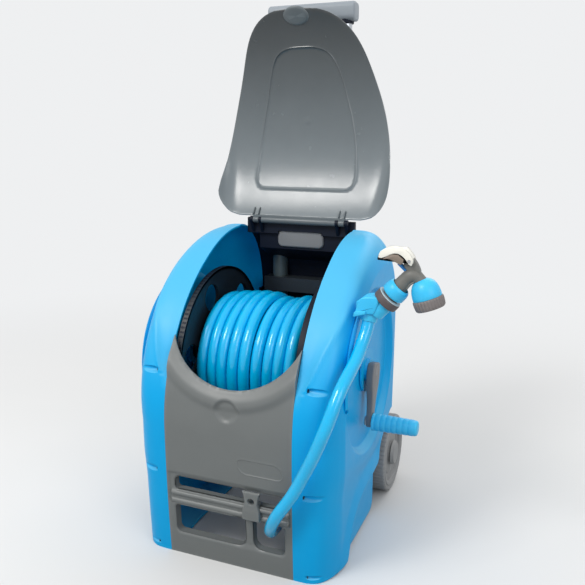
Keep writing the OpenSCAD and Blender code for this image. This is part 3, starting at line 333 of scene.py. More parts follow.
def prism(outline, z0, z1, spot, r, steps=2):
    """An outline pushed from z0 to z1 with rounded edges of radius r."""
    outline = counter_clockwise(outline)
    turns = [pi / 2 * i / steps for i in range(steps + 1)]
    rings = [(z0 + r * (1 - cos(a)), -r * (1 - sin(a))) for a in turns]
    rings += [(z1 - (z - z0), d) for z, d in reversed(rings)]
    verts = [(x, y, z) for z, d in rings for x, y in offset_line(outline, d)]
    return place(verts, spot), capped_faces(len(rings), len(outline))


def quarter(cx, cy, r, start, n=6):
    turns = [radians(start + 90 * i / n) for i in range(n + 1)]
    return [(cx + r * cos(a), cy + r * sin(a)) for a in turns]


def rounded_rect(x0, x1, y0, y1, r, n=6):
    corners = ((x1 - r, y0 + r, -90), (x1 - r, y1 - r, 0), (x0 + r, y1 - r, 90), (x0 + r, y0 + r, 180))
    return [p for cx, cy, start in corners for p in quarter(cx, cy, r, start, n)]


def corner_rect(x0, x1, y0, y1, radii):
    """A rectangle with its own radius at each corner: lower left, lower right, upper right, upper left."""
    a, b, c, d = radii
    return (quarter(x0 + a, y0 + a, a, 180) + quarter(x1 - b, y0 + b, b, 270)
            + quarter(x1 - c, y1 - c, c, 0) + quarter(x0 + d, y1 - d, d, 90))


def circle(cx, cy, r, n):
    turns = np.linspace(0, TURN, n, endpoint=False)
    return np.array([(cx + r * cos(a), cy + r * sin(a)) for a in turns])


def catmull(pts, steps):
    """A smooth line through points, with so many steps from one to the next."""
    p = np.array(pts, float)
    p = np.vstack([2 * p[0] - p[1], p, 2 * p[-1] - p[-2]])
    out = []
    for i in range(1, len(p) - 2):
        for s in range(steps):
            t = s / steps
            a, b, c, d = p[i - 1], p[i], p[i + 1], p[i + 2]
            out.append(0.5 * (2 * b + (c - a) * t + (2 * a - 5 * b + 4 * c - d) * t * t
                              + (3 * b - a - 3 * c + d) * t ** 3))
    out.append(p[-2])
    return np.array(out)


def tube(path, radius, n):
    """A tube along a path; radius is a number or one for each point."""
    p = np.asarray(path, float)
    t = np.gradient(p, axis=0)
    t /= np.linalg.norm(t, axis=1)[:, None]
    u = np.cross(t[0], [1.0, 0, 0] if abs(t[0][0]) < 0.9 else [0, 1.0, 0])
    u /= np.linalg.norm(u)
    verts = []
    for centre, way, r in zip(p, t, np.broadcast_to(radius, (len(p),))):
        u = u - way * np.dot(u, way)
        u /= np.linalg.norm(u)
        w = np.cross(way, u)
        for j in range(n):
            a = TURN * j / n
            verts.append(centre + r * (cos(a) * u + sin(a) * w))
    return np.array(verts), capped_faces(len(p), n)


def merged(*parts):
    verts, faces, k = [], [], 0
    for v, f in parts:
        verts.append(np.asarray(v, float))
        faces += [[i + k for i in q] for q in f]
        k += len(v)
    return np.concatenate(verts), faces


def inside_poly(p, poly):
    x, y = p[..., 0], p[..., 1]
    hit = np.zeros(x.shape, bool)
    for (ax, ay), (bx, by) in zip(poly, np.roll(poly, -1, 0)):
        if abs(ay - by) < 1e-12:
            continue
        cross = (ay > y) != (by > y)
        hit ^= cross & (x < (bx - ax) * (y - ay) / (by - ay) + ax)
    return hit


def line_distance(p, line, closed=True):
    best = np.full(p.shape[:-1], 1e9)
    ends = np.roll(line, -1, 0) if closed else line[1:]
    for a, b in zip(line, ends):
        d = b - a
        t = np.clip(((p - a) @ d) / max(d @ d, 1e-12), 0, 1)
        best = np.minimum(best, np.linalg.norm(p - a - t[..., None] * d, axis=-1))
    return best


def dense(line, step):
    """A closed line with points at most a step apart."""
    out = []
    p = np.asarray(line, float)
    for a, b in zip(p, np.roll(p, -1, 0)):
        k = max(1, int(ceil(np.linalg.norm(b - a) / step)))
        out += [a + (b - a) * i / k for i in range(k)]
    return np.array(out)


def flat_mesh(outer, holes, spacing, guides=()):
    """Points and triangles of a flat region with holes; guides are extra closed lines that edges follow."""
    loops = [np.asarray(line, float) for line in (outer, *holes)]
    lines = loops + [np.asarray(line, float) for line in guides]

    def within(p):
        keep = inside_poly(p, loops[0])
        for hole in loops[1:]:
            keep &= ~inside_poly(p, hole)
        return keep

    lo, hi = loops[0].min(0), loops[0].max(0)
    gx, gy = np.meshgrid(*(np.arange(lo[k] + spacing / 2, hi[k], spacing) for k in (0, 1)))
    gx[1::2] += spacing / 2
    p = np.stack([gx.ravel(), gy.ravel()], 1)
    p = p[within(p)]
    pts, edges = [], []
    for line in lines:
        p = p[line_distance(p, line) > spacing * 0.55]
        k = len(pts)
        pts += [tuple(q) for q in line]
        edges += [(k + i, k + (i + 1) % len(line)) for i in range(len(line))]
    pts += [tuple(q) for q in p]
    out = delaunay_2d_cdt([Vector(q) for q in pts], edges, [], 0, 1e-5)
    v = np.array([tuple(q) for q in out[0]])
    tri = np.array([t for t in out[2] if len(t) == 3])
    tri = tri[within(v[tri].mean(1))]
    a, b, c = v[tri[:, 0]], v[tri[:, 1]], v[tri[:, 2]]
    area = (b[:, 0] - a[:, 0]) * (c[:, 1] - a[:, 1]) - (b[:, 1] - a[:, 1]) * (c[:, 0] - a[:, 0])
    tri[area < 0] = tri[area < 0][:, ::-1]
    return v, tri[np.abs(area) > 1e-7]


def two_sided(tri, front, back):
    """Closed solid from the triangles of a flat mesh, with its points on the front and on the back."""
    n = len(front)
    used = {(t[i], t[(i + 1) % 3]): None for t in tri for i in range(3)}
    rim = [e for e in used if (e[1], e[0]) not in used]
    faces = [list(t) for t in tri] + [[i + n for i in t[::-1]] for t in tri]
    faces += [[b, a, a + n, b + n] for a, b in rim]
    return np.concatenate([front, back]), faces


# Stage and soft studio light: a pale sheet that runs out into a background of the same colour
PALE = (0.86, 0.87, 0.88, 1)
FLOOR_HALF = 40


def shown_or_lit(t, shown, lit):
    """A colour for what the camera sees, also mirrored or through glass, and another one for the light."""
    rays = node(t, "LightPath")
    seen = rays["Is Camera Ray"]
    for ray in ("Is Glossy Ray", "Is Transmission Ray"):
        seen = node(t, "Math", seen, rays[ray], operation="MAXIMUM")[0]
    return node(t, "Mix", data_type="RGBA", Factor=seen, A=lit, B=shown)["Result"]


def floor():
    me = bpy.data.meshes.new("floor")
    me.from_pydata([(x * FLOOR_HALF, y * FLOOR_HALF, 0) for x, y in ((-1, -1), (1, -1), (1, 1), (-1, 1))], [],
                   [(0, 1, 2, 3)])
    m = bpy.data.materials.new("floor_pale")
    m.use_nodes = True
    t = m.node_tree
    spot = node(t, "TexCoord")["Object"]
    speck = node(t, "TexNoise", Vector=spot, Scale=3.0, Detail=2.0)["Fac"]
    near = ramp(t, speck, ((0, (0.66, 0.67, 0.67, 1)), (1, (0.69, 0.69, 0.69, 1))))
    bsdf = wire(t, t.nodes["Principled BSDF"], Base_Color=shown_or_lit(t, near, (0.30, 0.32, 0.32, 1)),
                Roughness=0.9, Specular_IOR_Level=0.1).outputs
    far = node(t, "Emission", Color=PALE)
    away = node(t, "VectorMath", spot, operation="LENGTH")["Value"]
    fade = node(t, "MapRange", interpolation_type="SMOOTHSTEP", Value=away, From_Min=0.55, From_Max=1.9)
    mixed = node(t, "MixShader", fade["Result"], bsdf[0], far[0])
    wire(t, t.nodes["Material Output"], mixed[0])
    me.materials.append(m)
    add("floor", me)


def sky():
    world = bpy.data.worlds.new("studio")
    world.use_nodes = True
    t = world.node_tree
    up = node(t, "SeparateXYZ", node(t, "TexCoord")["Generated"])["Z"]
    light = ramp(t, up, ((0.0, (0.2, 0.21, 0.22, 1)), (0.75, grey(1))))
    wire(t, t.nodes["Background"], Color=shown_or_lit(t, PALE, light), Strength=1.0)
    SCENE.world = world


def lamp(name, spot, aim, power, size, colour):
    d = bpy.data.lights.new(name, "AREA")
    d.energy, d.size, d.color = power, size, colour
    o = add(name, d)
    o.location = spot
    o.rotation_euler = (Vector(aim) - Vector(spot)).to_track_quat("-Z", "Y").to_euler()


floor()
sky()
lamp("key", (-0.9, -1.5, 2.1), (0, 0.1, 0.3), 34, 0.8, (1, 0.98, 0.95))
lamp("fill", (1.9, -1.3, 1.3), (0, 0.1, 0.3), 13, 1.2, (0.97, 0.98, 1))
lamp("back", (0.4, 1.9, 1.8), (0, 0.1, 0.4), 10, 1.4, (1, 1, 1))
SCENE.view_settings.view_transform = "Standard"

# Free hose: the stretch between the drum and the spray gun, along the route of the CAD source
ROUTE = [(44, 210.4, 167.3), (46, 188.2, 154), (48.1, 156.1, 128.6), (49.6, 120.8, 91.7), (50.3, 79.8, 60.9),
         (52.9, 36, 51.2), (57.7, 4, 57.1), (65.6, -20.1, 75.7), (79, -33, 102.5), (100.6, -33.3, 136.2),
         (115.2, -32.5, 165.1), (130.2, -33.5, 197.9), (144.7, -30.8, 237), (154.2, -10.1, 275), (160.5, 28.3, 301.7),
         (163.4, 47.2, 320.8), (166.4, 56.9, 338), (168, 62, 353.4)]
HOSE_R = 8.09
line = catmull(ROUTE, 10)
free = make("free_hose_skin", tube(line, HOSE_R, 24), "hose_blue", "cart", replaces="free_hose")

# Outline of the cart's side, as in the CAD source: the front bulges out to the belly, the crown climbs from there
# to the crest, the back rounds down from the crest to its flat stretch, which ends over the wheel arch
BELLY_Z, TOP_H, CREST_Y, BELLY_OUT, SILL, E = 190, 437, 225, 15, 8, 1.04
BACK_Y, BACK_Z, ARCH_END_Z = 310, 321, 144.1
MOUTH, SIDE_W, HALF_W = 93, 57, 150.0
DRUM_Y, DRUM_Z, DISH_R = 145, 251, 119
AXLE_Y, AXLE_Z, ARCH_R = 288, 63, 84
FOOT_Y, FOOT_Z, FOOT_R, TOE_Y = 188, 19, 16, 40


def front_at(z):
    return -SILL - (BELLY_OUT - SILL) * (1 - (1 - z / BELLY_Z) ** 2)


def crown_at(t):
    t = radians(t)
    return (CREST_Y - (CREST_Y + BELLY_OUT) * max(cos(t), 0) ** E, BELLY_Z + (TOP_H - BELLY_Z) * sin(t) ** E)


def back_at(a):
    a = radians(a)
    return (CREST_Y + (BACK_Y - CREST_Y) * cos(a), BACK_Z + (TOP_H - BACK_Z) * sin(a))


def crown_t(z):
    return degrees(asin(min(1, ((z - BELLY_Z) / (TOP_H - BELLY_Z)) ** (1 / E))))


def front_y(z):
    return front_at(z) if z <= BELLY_Z else crown_at(crown_t(z))[0]


def roll_at(u):
    """Depth and exponent of the crown's rolled edge, from the belly (u = 0) to the crest (u = 1)."""
    return 42 + 3 * u - 12 * np.sin(np.pi * u), 4 + 3 * np.sin(np.pi * u) - 0.5 * u


# Screw pockets in the shells' front: x of the rim's inner end, height and half height
POCKETS = [(107.8, 264, 4.6), (107.6, 125, 4.6), (112, 9, 3.2)]
POCKET_R, POCKET_LONG = 4.6, 5.6


def shell_columns():
    """One entry for each column of the shell's sheet: y, z, roll depth, exponent and way inwards (None: square)."""
    near = [0, 1, 2, 2.9, 3.6, 4.2, 4.55, 4.9, 5.6, 7]
    zs = set(np.arange(0, 299, 5.0).round(2))
    for _, z0, r in POCKETS:
        zs = {z for z in zs if abs(z - z0) > 7.6}
        zs |= {round(z0 + s * k * r / POCKET_R, 2) for k in near for s in (-1, 1) if z0 + s * k >= 0}
    zs = sorted(zs)
    cols = [(front_at(z), z, 42, 4, (1, 0.07) if z == 0 else None) for z in zs if z <= BELLY_Z]
    t1 = crown_t(295)
    crown = [crown_t(z) for z in zs if z > BELLY_Z] + [t1 + (90 - t1) * i / 61 for i in range(1, 62)]
    cols += [(*crown_at(t), *roll_at(t / 90), None) for t in crown]
    cols += [(*back_at(90 - 90 * u), 45 - 11 * u, 3.5, None) for u in (i / 24 for i in range(1, 25))]
    cols += [(BACK_Y, BACK_Z + (ARCH_END_Z - BACK_Z) * i / 30, 34, 3.5, None) for i in range(1, 30)]
    cols.append((BACK_Y, ARCH_END_Z, 34, 3.5, (-1, 0.09)))
    # The edges below have a small roll of their own: wheel arch, rear foot, its corner and the underside
    small = (3, 16)
    for i in range(20):
        a = radians(105 + 75 * i / 19)
        c, s = cos(a), sin(a)
        cols.append((AXLE_Y + ARCH_R * c, AXLE_Z + ARCH_R * s, *small, (c, s)))
    for u in (i / 12 for i in range(1, 13)):
        cols.append((AXLE_Y - ARCH_R, AXLE_Z * (1 - u) + FOOT_Z * u, *small, (-1, 0)))
    for i in range(1, 9):
        a = radians(90 * i / 8)
        c, s = cos(a), sin(a)
        cols.append((FOOT_Y + FOOT_R * c, FOOT_Z - FOOT_R * s, *small, (-c, s)))
    for y in (FOOT_Y - (FOOT_Y - TOE_Y) * i / 26 for i in range(1, 27)):
        cols.append((y, 3 * min(1, (y - TOE_Y) / 24), *small, (0, 1)))
    return cols


# Step line over the recessed skirt, from the back to the floor
STEP = np.array([(222, 87), (202, 85), (163, 80), (126, 75), (102, 67), (79, 53), (66, 33), (58, 19), (55, 6),
                 (54, -14)], float)


def below_step(y, z):
    """Signed distance into the recessed skirt, behind and below its step line."""
    p = np.stack([y, z], -1)
    away = line_distance(p, STEP, closed=False)
    return np.where(inside_poly(p, np.vstack([STEP, [(240, -14), (240, 87)]])), away, -away)


def recess(y, z):
    """How far the shell's side lies inwards: the dish round the drum, the skirt and a flare along their lip."""
    r = np.hypot(y - DRUM_Y, z - DRUM_Z)
    step = below_step(y, z)
    dish = 10 * ease((DISH_R - r) / 11)
    skirt = 8.5 * ease((step + 0.6) / 4.2)
    lip = np.minimum(np.abs(step), np.abs(r - DISH_R))
    flare = 4.0 * ease(lip / 30) * ease((150 - z) / 50) * ease((230 - y) / 40)
    return np.maximum(dish, np.where(r > DISH_R, np.where(skirt > 0.01, skirt, flare), 0))


# Height on the outline and distance from the middle of the shoulder's ridge
RIDGE = np.array([(236, 97), (257, 102), (275, 110), (289, 115), (310, 122), (326, 129), (341, 135), (357, 140),
                  (380, 143), (437, 145)], float)
# Rows of the shell's sheet: distances from the mouth's rim, rows of the roll, rows across the side, dish radii
RIM_X = (0, 0.5, 1.5, 3.5, 6, 9, 12, 13.6, 14.3, 14.7, 15.2, 16, 18, 20.5, 23, 26, 29, 32, 35, 38, 41, 43.5)
ROLL_ROWS, SIDE_ROWS = 16, 60
DISH_ROWS = (118.5, 117, 115, 113, 111, 109, 107, 105.5, 104.3, 103, 98, 88, 74, 60, 46, 36, 29, 26.2)


def shell_sheet():
    """Points of the right shell, rows from the mouth's rim over the rolled edge and the side to the bearing."""
    cols = shell_columns()
    n = len(cols)
    side = np.array([c[:2] for c in cols], float)
    ways = normals(side)
    for k, c in enumerate(cols):
        if c[4] is not None:
            ways[k] = c[4]
    depth = np.array([c[2] for c in cols], float)
    power = np.array([c[3] for c in cols], float)
    rows = [(MOUTH + x, side + ways * (depth * (x / SIDE_W) ** power)[:, None]) for x in RIM_X]
    g0 = (RIM_X[-1] / SIDE_W) ** power
    for i in range(1, ROLL_ROWS + 1):
        g = g0 + (1 - g0) * (i / ROLL_ROWS) ** 1.1
        rows.append((MOUTH + SIDE_W * g ** (1 / power), side + ways * (depth * g)[:, None]))
    edge = len(rows)
    v = rows[-1][1] - [DRUM_Y, DRUM_Z]
    rad = np.linalg.norm(v, axis=1)
    unit = v / rad[:, None]
    radii = [rad + (DISH_R + 0.5 - rad) * (i / SIDE_ROWS) for i in range(1, SIDE_ROWS + 1)]
    radii += [np.full(n, r) for r in DISH_ROWS]
    rows += [(HALF_W, [DRUM_Y, DRUM_Z] + unit * r[:, None]) for r in radii]
    x = np.stack([np.broadcast_to(r[0], (n,)) for r in rows])
    yz = np.stack([r[1] for r in rows])
    y, z = yz[..., 0].copy(), yz[..., 1].copy()
    # Soft shoulder: a shallow valley from the mouth's rim out to a ridge that climbs the crown
    lo = np.interp(side[:, 1], RIDGE[:, 0], RIDGE[:, 1])
    amount = ease((side[:, 1] - 236) / 50) * (side[:, 0] < CREST_Y - 1)
    amount = amount * (1 - 0.7 * ease((side[:, 1] - 400) / 37))
    u = np.clip((x - MOUTH - 2) / np.maximum(lo - MOUTH - 2, 1), 0, 3)
    climb = 4.2 * np.clip(1 - u, 0, 1) ** 1.2 + 1.6 * np.sin(pi * np.clip(u, 0, 1))
    valley = climb - 1.5 * np.exp(-((u - 1.02) / 0.11) ** 2)
    valley = valley * amount * (np.arange(len(rows)) < edge)[:, None]
    y, z = y + ways[:, 0] * valley, z + ways[:, 1] * valley
    share = np.clip((x - MOUTH) / SIDE_W, 0, 1)
    x -= recess(y, z) * share ** 1.6
    for x0, z0, r in POCKETS:
        long = r * POCKET_LONG
        u = np.clip((x - x0) / long, 0, 1)
        half = r * (0.66 + 0.34 * ease(u / 0.35)) * np.sqrt(1 - u ** 3)
        round_in = np.sqrt(np.clip(1 - ((z - z0) / np.maximum(half, 0.1)) ** 2, 0, 1))
        deep = POCKET_LONG * r / POCKET_R * (1 - 0.55 * u) * round_in
        inside = (x >= x0 - 0.05) & (x < x0 + long) & (y < 60)
        y = np.where(inside, y + deep * (1 - u ** 6), y)
    pts = points(x, y, z)
    # Ease the change from the rolled edge to the flat side
    for _ in range(26):
        mid = pts[edge - 7:edge + 9]
        pts[edge - 6:edge + 8] = 0.5 * mid[1:-1] + 0.25 * (mid[:-2] + mid[2:])
    return pts, len(rows), n


def shells():
    pts, rows, n = shell_sheet()
    flat = pts.reshape(-1, 3)
    faces = ring_faces(rows, n, flip=True)
    for s, name in SIDES:
        shape = flat * [s, 1, 1], [q if s > 0 else q[::-1] for q in faces]
        o = make("shell_" + name, shape, "shell_blue", "cart", angle=50, replaces="side_shell_" + name)
        thick = o.modifiers.new("wall", "SOLIDIFY")
        thick.thickness = 2.8 * MM
        thick.offset = -1
        thick.use_even_offset = False
        bevel(o, 0.7, 60)
        # Dark discs in the pockets' screw holes: painted shade of the holes
        holes = [lathe([(-0.3, 0), (-0.3, r * 0.5), (0.2, r * 0.46), (0.2, 0)],
                       across(front_y(z0) + r * 0.6, z0, s * (x0 + 0.9), s), 24) for x0, z0, r in POCKETS]
        make("pocket_holes_" + name, merged(*holes), "hole_dark", "cart")


shells()

# Front panel: its half width and the ellipse of its scoop (height of the centre and the two half axes)
PANEL_HALF = 92.7
SCOOP_Z, SCOOP_X, SCOOP_H = 345, 100, 94


def front_panel():
    half = PANEL_HALF
    scoop = [(SCOOP_X * cos(a), SCOOP_Z - SCOOP_H * sin(a)) for a in np.linspace(0.0, pi, 181)]
    scoop = [p for p in scoop if abs(p[0]) < half]
    corner = SCOOP_Z - SCOOP_H * sqrt(1 - (half / SCOOP_X) ** 2)
    outer = dense([(-half, 0), (half, 0), (half, corner)] + scoop + [(-half, corner)], 2.2)
    openings = [dense(corner_rect(*w), 2.0) for w in ((-82, 82, 99, 119, (5, 5, 9, 9)),
                                                      (-82, 24.5, 33, 76, (8, 12, 5, 5)),
                                                      (35.5, 82, 33, 76, (12, 8, 5, 5)))]
    badge = dense([(x + 0.3 * (152.5 - y), y) for x, y in rounded_rect(16.5, 79.5, 142.5, 162.5, 9.5, 8)], 2.0)
    thumb = np.array([(18.5 * cos(a) * (1 + 0.07 * sin(a)), 224.5 + 16.5 * sin(a))
                      for a in np.linspace(0, TURN, 72, endpoint=False)])
    field = dense(rounded_rect(-90.5, 90.5, 77, 125, 4, 5), 2.0)
    beads = (81.6, 93.4)
    guides = [offset_line(w, d) for w in openings for d in (0.8, 1.9)]
    guides += [dense(rounded_rect(-86, 86, k - h, k + h, 0.4, 1), 2.4) for k in beads for h in (3.6, 2.2, 0.7)]
    guides += [offset_line(badge, d) for d in (-1.0, -0.35, 0.35, 1.0)]
    guides += [offset_line(thumb, d) for d in (-3.0, -1.2, 0.4, 1.8)]
    v, tri = flat_mesh(outer, openings, 2.3, guides)
    x, z = v[:, 0], v[:, 1]
    y = np.array([front_y(max(q, 0)) for q in z])
    back = y + 3.0
    # Raised band under the scoop, and the scoop's rounded edge
    d = (np.hypot(x / SCOOP_X, (z - SCOOP_Z) / SCOOP_H) - 1) * SCOOP_H
    band = ease(d / 15) * ease((31 - d) / 13)
    y -= 4.6 * band * ease((z - 205) / 22)
    y += 1.2 * ease((2 - d) / 2) * (d < 2.2)
    # Thumb recess
    bowl = np.where(inside_poly(v, thumb), ease((line_distance(v, thumb) + 0.5) / 6.5), 0)
    y += bowl * (3.4 + 2.0 * ease((z - 218) / 20))
    # Badge: a blank place edged by a fine groove
    d, on = line_distance(v, badge), inside_poly(v, badge)
    y += np.where(on, 0.55 * ease((d + 0.4) / 1.2), 0) - np.where(~on, 0.25 * ease(1.1 - d), 0)
    # Sunk field round the upper opening and the post, the rail's two beads and rounded edges at the openings
    y += np.where(inside_poly(v, field), 2.4 * ease(line_distance(v, field) / 1.6), 0)
    post = (z < 78) & (z > 30) & (np.abs(x - 30) < 22)
    y += np.where(post, 2.4 * ease((78 - z) / 3) * ease((z - 30) / 8), 0)
    for k in beads:
        y -= np.where(np.abs(x) < 86.5, 3.4 * np.sqrt(np.clip(1 - ((z - k) / 3.7) ** 2, 0, 1)), 0)
    d = np.min([line_distance(v, w) for w in openings], axis=0)
    y += 1.3 * ease((2 - d) / 2)
    back = np.maximum(back, y + 1.6)
    make("front_panel_skin", two_sided(tri, points(x, y, z), points(x, back, z)), "panel_grey", "cart",
         angle=46, replaces="front_panel")
    # Walls of the openings: depth behind the front and growth of each ring
    rings = ((2.6, 0.0), (6, 0.0), (13, -0.5), (13, 1.2), (5, 1.6))
    walls = [([(q[0], front_y(q[1]) + dy, q[1]) for dy, grow in rings for q in offset_line(w, grow)],
              ring_faces(len(rings), len(w), flip=True)) for w in openings]
    make("front_openings", merged(*walls), "panel_grey", "cart", angle=40)


def clip():
    """The sliding hose guide: a waisted plate with a hole, hooked over the rail."""
    mid = 36
    side = catmull([(12.5, 79), (12.6, 90), (11.2, 96), (9.4, 103), (10.2, 110), (12.4, 119)], 4)
    outer = counter_clockwise(dense(np.vstack([side, (side * [-1, 1])[::-1]]) + [mid, 0], 1.6))
    hole = circle(mid, 106, 4.5, 28)
    v, tri = flat_mesh(outer, [hole], 2.2, [offset_line(outer, -0.9), offset_line(hole, 0.8)])
    edge = np.minimum(line_distance(v, outer), line_distance(v, hole))
    rim = ease((0.9 - edge) / 0.9)
    x, z = v[:, 0], v[:, 1]
    fold = 1.6 * ease((96 - z) / 4)
    front, back = -17.3 + rim - fold * 0.4, np.full(len(v), -13.4)
    plate = two_sided(tri, points(x, front, z), points(x, back, z))
    top = prism(rounded_rect(-14, -1.2, 97.6, 101.4, 1), -9.5, 9.5, across(x=mid), 0.6)
    rear = prism(rounded_rect(-3.6, -1.0, 89.5, 100, 0.9), -9.5, 9.5, across(x=mid), 0.5)
    make("clip_plate", merged(plate, top, rear), "panel_grey", "guide_clip", angle=42, replaces="guide_clip")


front_panel()
clip()

# Lid: its closed shape on the crown, turned open about the hinge
HINGE = (237, 444.5)
LID_OPEN = radians(-124)
LID_END_Y = 232
LID_STEPS, LID_END_STEPS = 600, 12
LID_IN, LID_OUT = 2.5, 5.1


def lid_profile():
    """The line on the crown under the lid, from its tip: points, normals, length so far and place (1: crest)."""
    t0 = crown_t(256)
    turns = [t0 + (90 - t0) * i / LID_STEPS for i in range(LID_STEPS + 1)]
    beyond = [(LID_END_Y - CREST_Y) * i / LID_END_STEPS for i in range(1, LID_END_STEPS + 1)]
    back = [back_at(degrees(acos(y / (BACK_Y - CREST_Y)))) for y in beyond]
    p = np.array([crown_at(t) for t in turns] + back)
    d = np.gradient(p, axis=0)
    d /= np.linalg.norm(d, axis=1)[:, None]
    s = np.concatenate([[0], np.cumsum(np.linalg.norm(np.diff(p, axis=0), axis=1))])
    return p, np.stack([-d[:, 1], d[:, 0]], 1), s, np.array([t / 90 for t in turns] + [1.0] * len(back))


LP, LN, LS, LT = lid_profile()


def lid_half(i):
    """Half width of the lid at a point of its profile."""
    u = min(1.19 * min(i / LID_STEPS, 1), 1)
    q = min(max((LP[i][0] - LID_END_Y + 38) / 38, 0), 1)
    slim = 4.2 * exp(-((LS[i] - 95) / 55) ** 2) + 12 * exp(-LS[i] / 48)
    return 139.5 * (1 - (1 - u) ** 1.25) ** 0.27 - 39 * (1 - sqrt(1 - q * q)) - slim


def lid_place(x, s, lift):
    """Points of the open lid from x, length along the profile and height over the closed rim."""
    y, z = np.interp(s, LS, LP[:, 0]), np.interp(s, LS, LP[:, 1])
    ny, nz = np.interp(s, LS, LN[:, 0]), np.interp(s, LS, LN[:, 1])
    depth, power = roll_at(np.interp(s, LS, LT))
    drop = depth * np.clip((np.abs(x) - MOUTH) / SIDE_W, 0, 1) ** power
    y, z = y + ny * (lift - drop), z + nz * (lift - drop)
    c, k = cos(LID_OPEN), sin(LID_OPEN)
    y, z = y - HINGE[0], z - HINGE[1]
    return points(x, HINGE[0] + y * c - z * k, HINGE[1] + y * k + z * c)


def lid():
    idx = [6, 7, 9, 12, 16, 20, 25, 32, 40, 50, 62, 76, 92] + list(range(110, 601, 14)) + [606, 612]
    tip = [(lid_half(6) * k, LS[6] - 2.4 * (1 - k * k)) for k in (0.15, 0.4, 0.65, 0.85)]
    right = tip + [(lid_half(i), LS[i]) for i in idx]
    outer = counter_clockwise(dense(right + [(-x, s) for x, s in reversed(right)], 3.2))
    groove = [(0, 57.4), (14, 57.8), (26, 60.2), (36, 64.6), (45, 73), (52.5, 88), (59.5, 110), (66.5, 140),
              (72.5, 166), (77.5, 195), (80.5, 225), (82, 250), (80.6, 262), (75, 270), (65, 273.4), (30, 273.8),
              (0, 273.8)]
    groove = catmull(groove, 5)
    groove = counter_clockwise(np.vstack([groove, (groove * [-1, 1])[-2:0:-1]]))
    gate_s = 168
    guides = [offset_line(groove, d) for d in (-1.7, -0.8, 0, 0.8, 1.7)]
    guides.append(circle(0, gate_s, 2.6, 16))
    guides += [offset_line(outer, -d) for d in (0.9, 2.2)]
    v, tri = flat_mesh(outer, [], 3.4, guides)
    x, s = v[:, 0], v[:, 1]
    # The seen side has a fine raised line, a gate mark and a rounded rim
    raised = 1.3 * np.clip(1 - line_distance(v, groove) / 1.5, 0, 1)
    gate = 2.0 * np.clip(1 - (np.hypot(x, s - gate_s) / 3.4) ** 2, 0, 1)
    rim = 1 - np.sqrt(np.clip(1 - (1 - np.clip(line_distance(v, outer) / 2.2, 0, 1)) ** 2, 0, 1))
    skin, faces = two_sided(tri, lid_place(x, s, LID_OUT - rim), lid_place(x, s, LID_IN - raised - gate + rim))
    make("lid_skin", (skin, [q[::-1] for q in faces]), "lid_grey", "lid", angle=50, replaces="lid")
    # Thumb tab at the tip, of rings (radius, height); it reaches straight on beyond the lid's end
    tab = ((0.01, 0.5), (10, 0.5), (16, 0.3), (18.6, -0.2), (20, -1.4), (20.2, -3), (19, -4.4), (0.01, -4.4))
    n = 40
    turns = [TURN * j / n for j in range(n)]
    x, s, h = np.array([(r * cos(a), 11.5 + r * 0.72 * sin(a), h) for r, h in tab for a in turns]).T
    base = lid_place(x, np.clip(s, 0, None), 2.2 - h - 0.9)
    end, inner = lid_place(np.zeros(2), np.array([0, 4.0]), np.full(2, LID_IN))
    way = (end - inner) / np.linalg.norm(end - inner)
    base = base + np.clip(-s, 0, None)[:, None] * way
    make("lid_tab", (base, ring_faces(len(tab), n)), "hinge_grey", "lid", angle=50)


lid()

# Hose on the drum: the outer layer of turns over a second layer
PITCH, TURNS, COIL_R, INNER_COIL_R = 16.7, 8.9, 88.0, 71.5
# How far each turn of the outer layer stands off its radius, and how far each turn shifts sideways
STAND_OFF = [-2.4, -0.8, 1.4, 3.4, 3.8, -2.2, -4.0, 0.2, 2.6, 1.6]
SHIFT = [0, 0.25, -0.2, 0.3, 0.1, -0.3, 0.2, -0.1, 0.2, 0]


def coil(turns, radius, x0, steps, amp, phase):
    """The line of wound hose, which comes up from below its layer before its first turn."""
    lead = 0.45
    a = np.linspace(-lead * 2 * pi, turns * 2 * pi, int((turns + lead) * steps) + 1)
    k = a / TURN
    r = radius + amp * np.interp(k, np.arange(10), STAND_OFF) - 15 * ease(-k / lead)
    r = r + 0.5 * np.sin(a * 1.7 + phase)
    x = x0 + PITCH * np.maximum(k, 0) + 0.25 * np.sin(2.3 * a + phase) + np.interp(k, np.arange(10), SHIFT)
    return points(x, DRUM_Y - r * np.cos(a), DRUM_Z + r * np.sin(a))


half = PITCH * TURNS / 2
outer_layer = tube(coil(TURNS, COIL_R, -half, 72, 1.0, 0.3), HOSE_R, 20)
make("hose_turns", outer_layer, "hose_blue", "drum", replaces="hose_coil")
inner_layer = tube(coil(TURNS - 0.8, INNER_COIL_R, -half + 7, 48, 0.0, 1.3), HOSE_R, 14)
make("hose_turns_inner", inner_layer, "hose_blue", "drum", replaces="hose_core")

# Spray gun in its own frame: u across the gun, y, w along its handle; its head looks down and 20 degrees outwards
C42, S42 = cos(radians(42)), sin(radians(42))
GUN_AT = (170, 62, 353)
GUN = frame_matrix(GUN_AT, (S42, 0, C42), (C42, 0, -S42))
GUN_Y = frame_matrix(GUN_AT, (0, 1, 0), (C42, 0, -S42))
HEAD = frame_matrix(place([(19, 0, 75)], GUN)[0], (0.34202, 0, -0.939693), (0, 1, 0))


def gun_plate(outline, y0, y1, r=0.8):
    """A plate in the plane of the gun from points (u, w)."""
    return prism([(u, -w) for u, w in outline], y0, y1, GUN_Y, r)


def gun_path(line, y=0):
    """Points in the gun's frame from a line of (u, w)."""
    return place(points(line[:, 0], 0 * line[:, 0] + y, line[:, 1]), GUN)


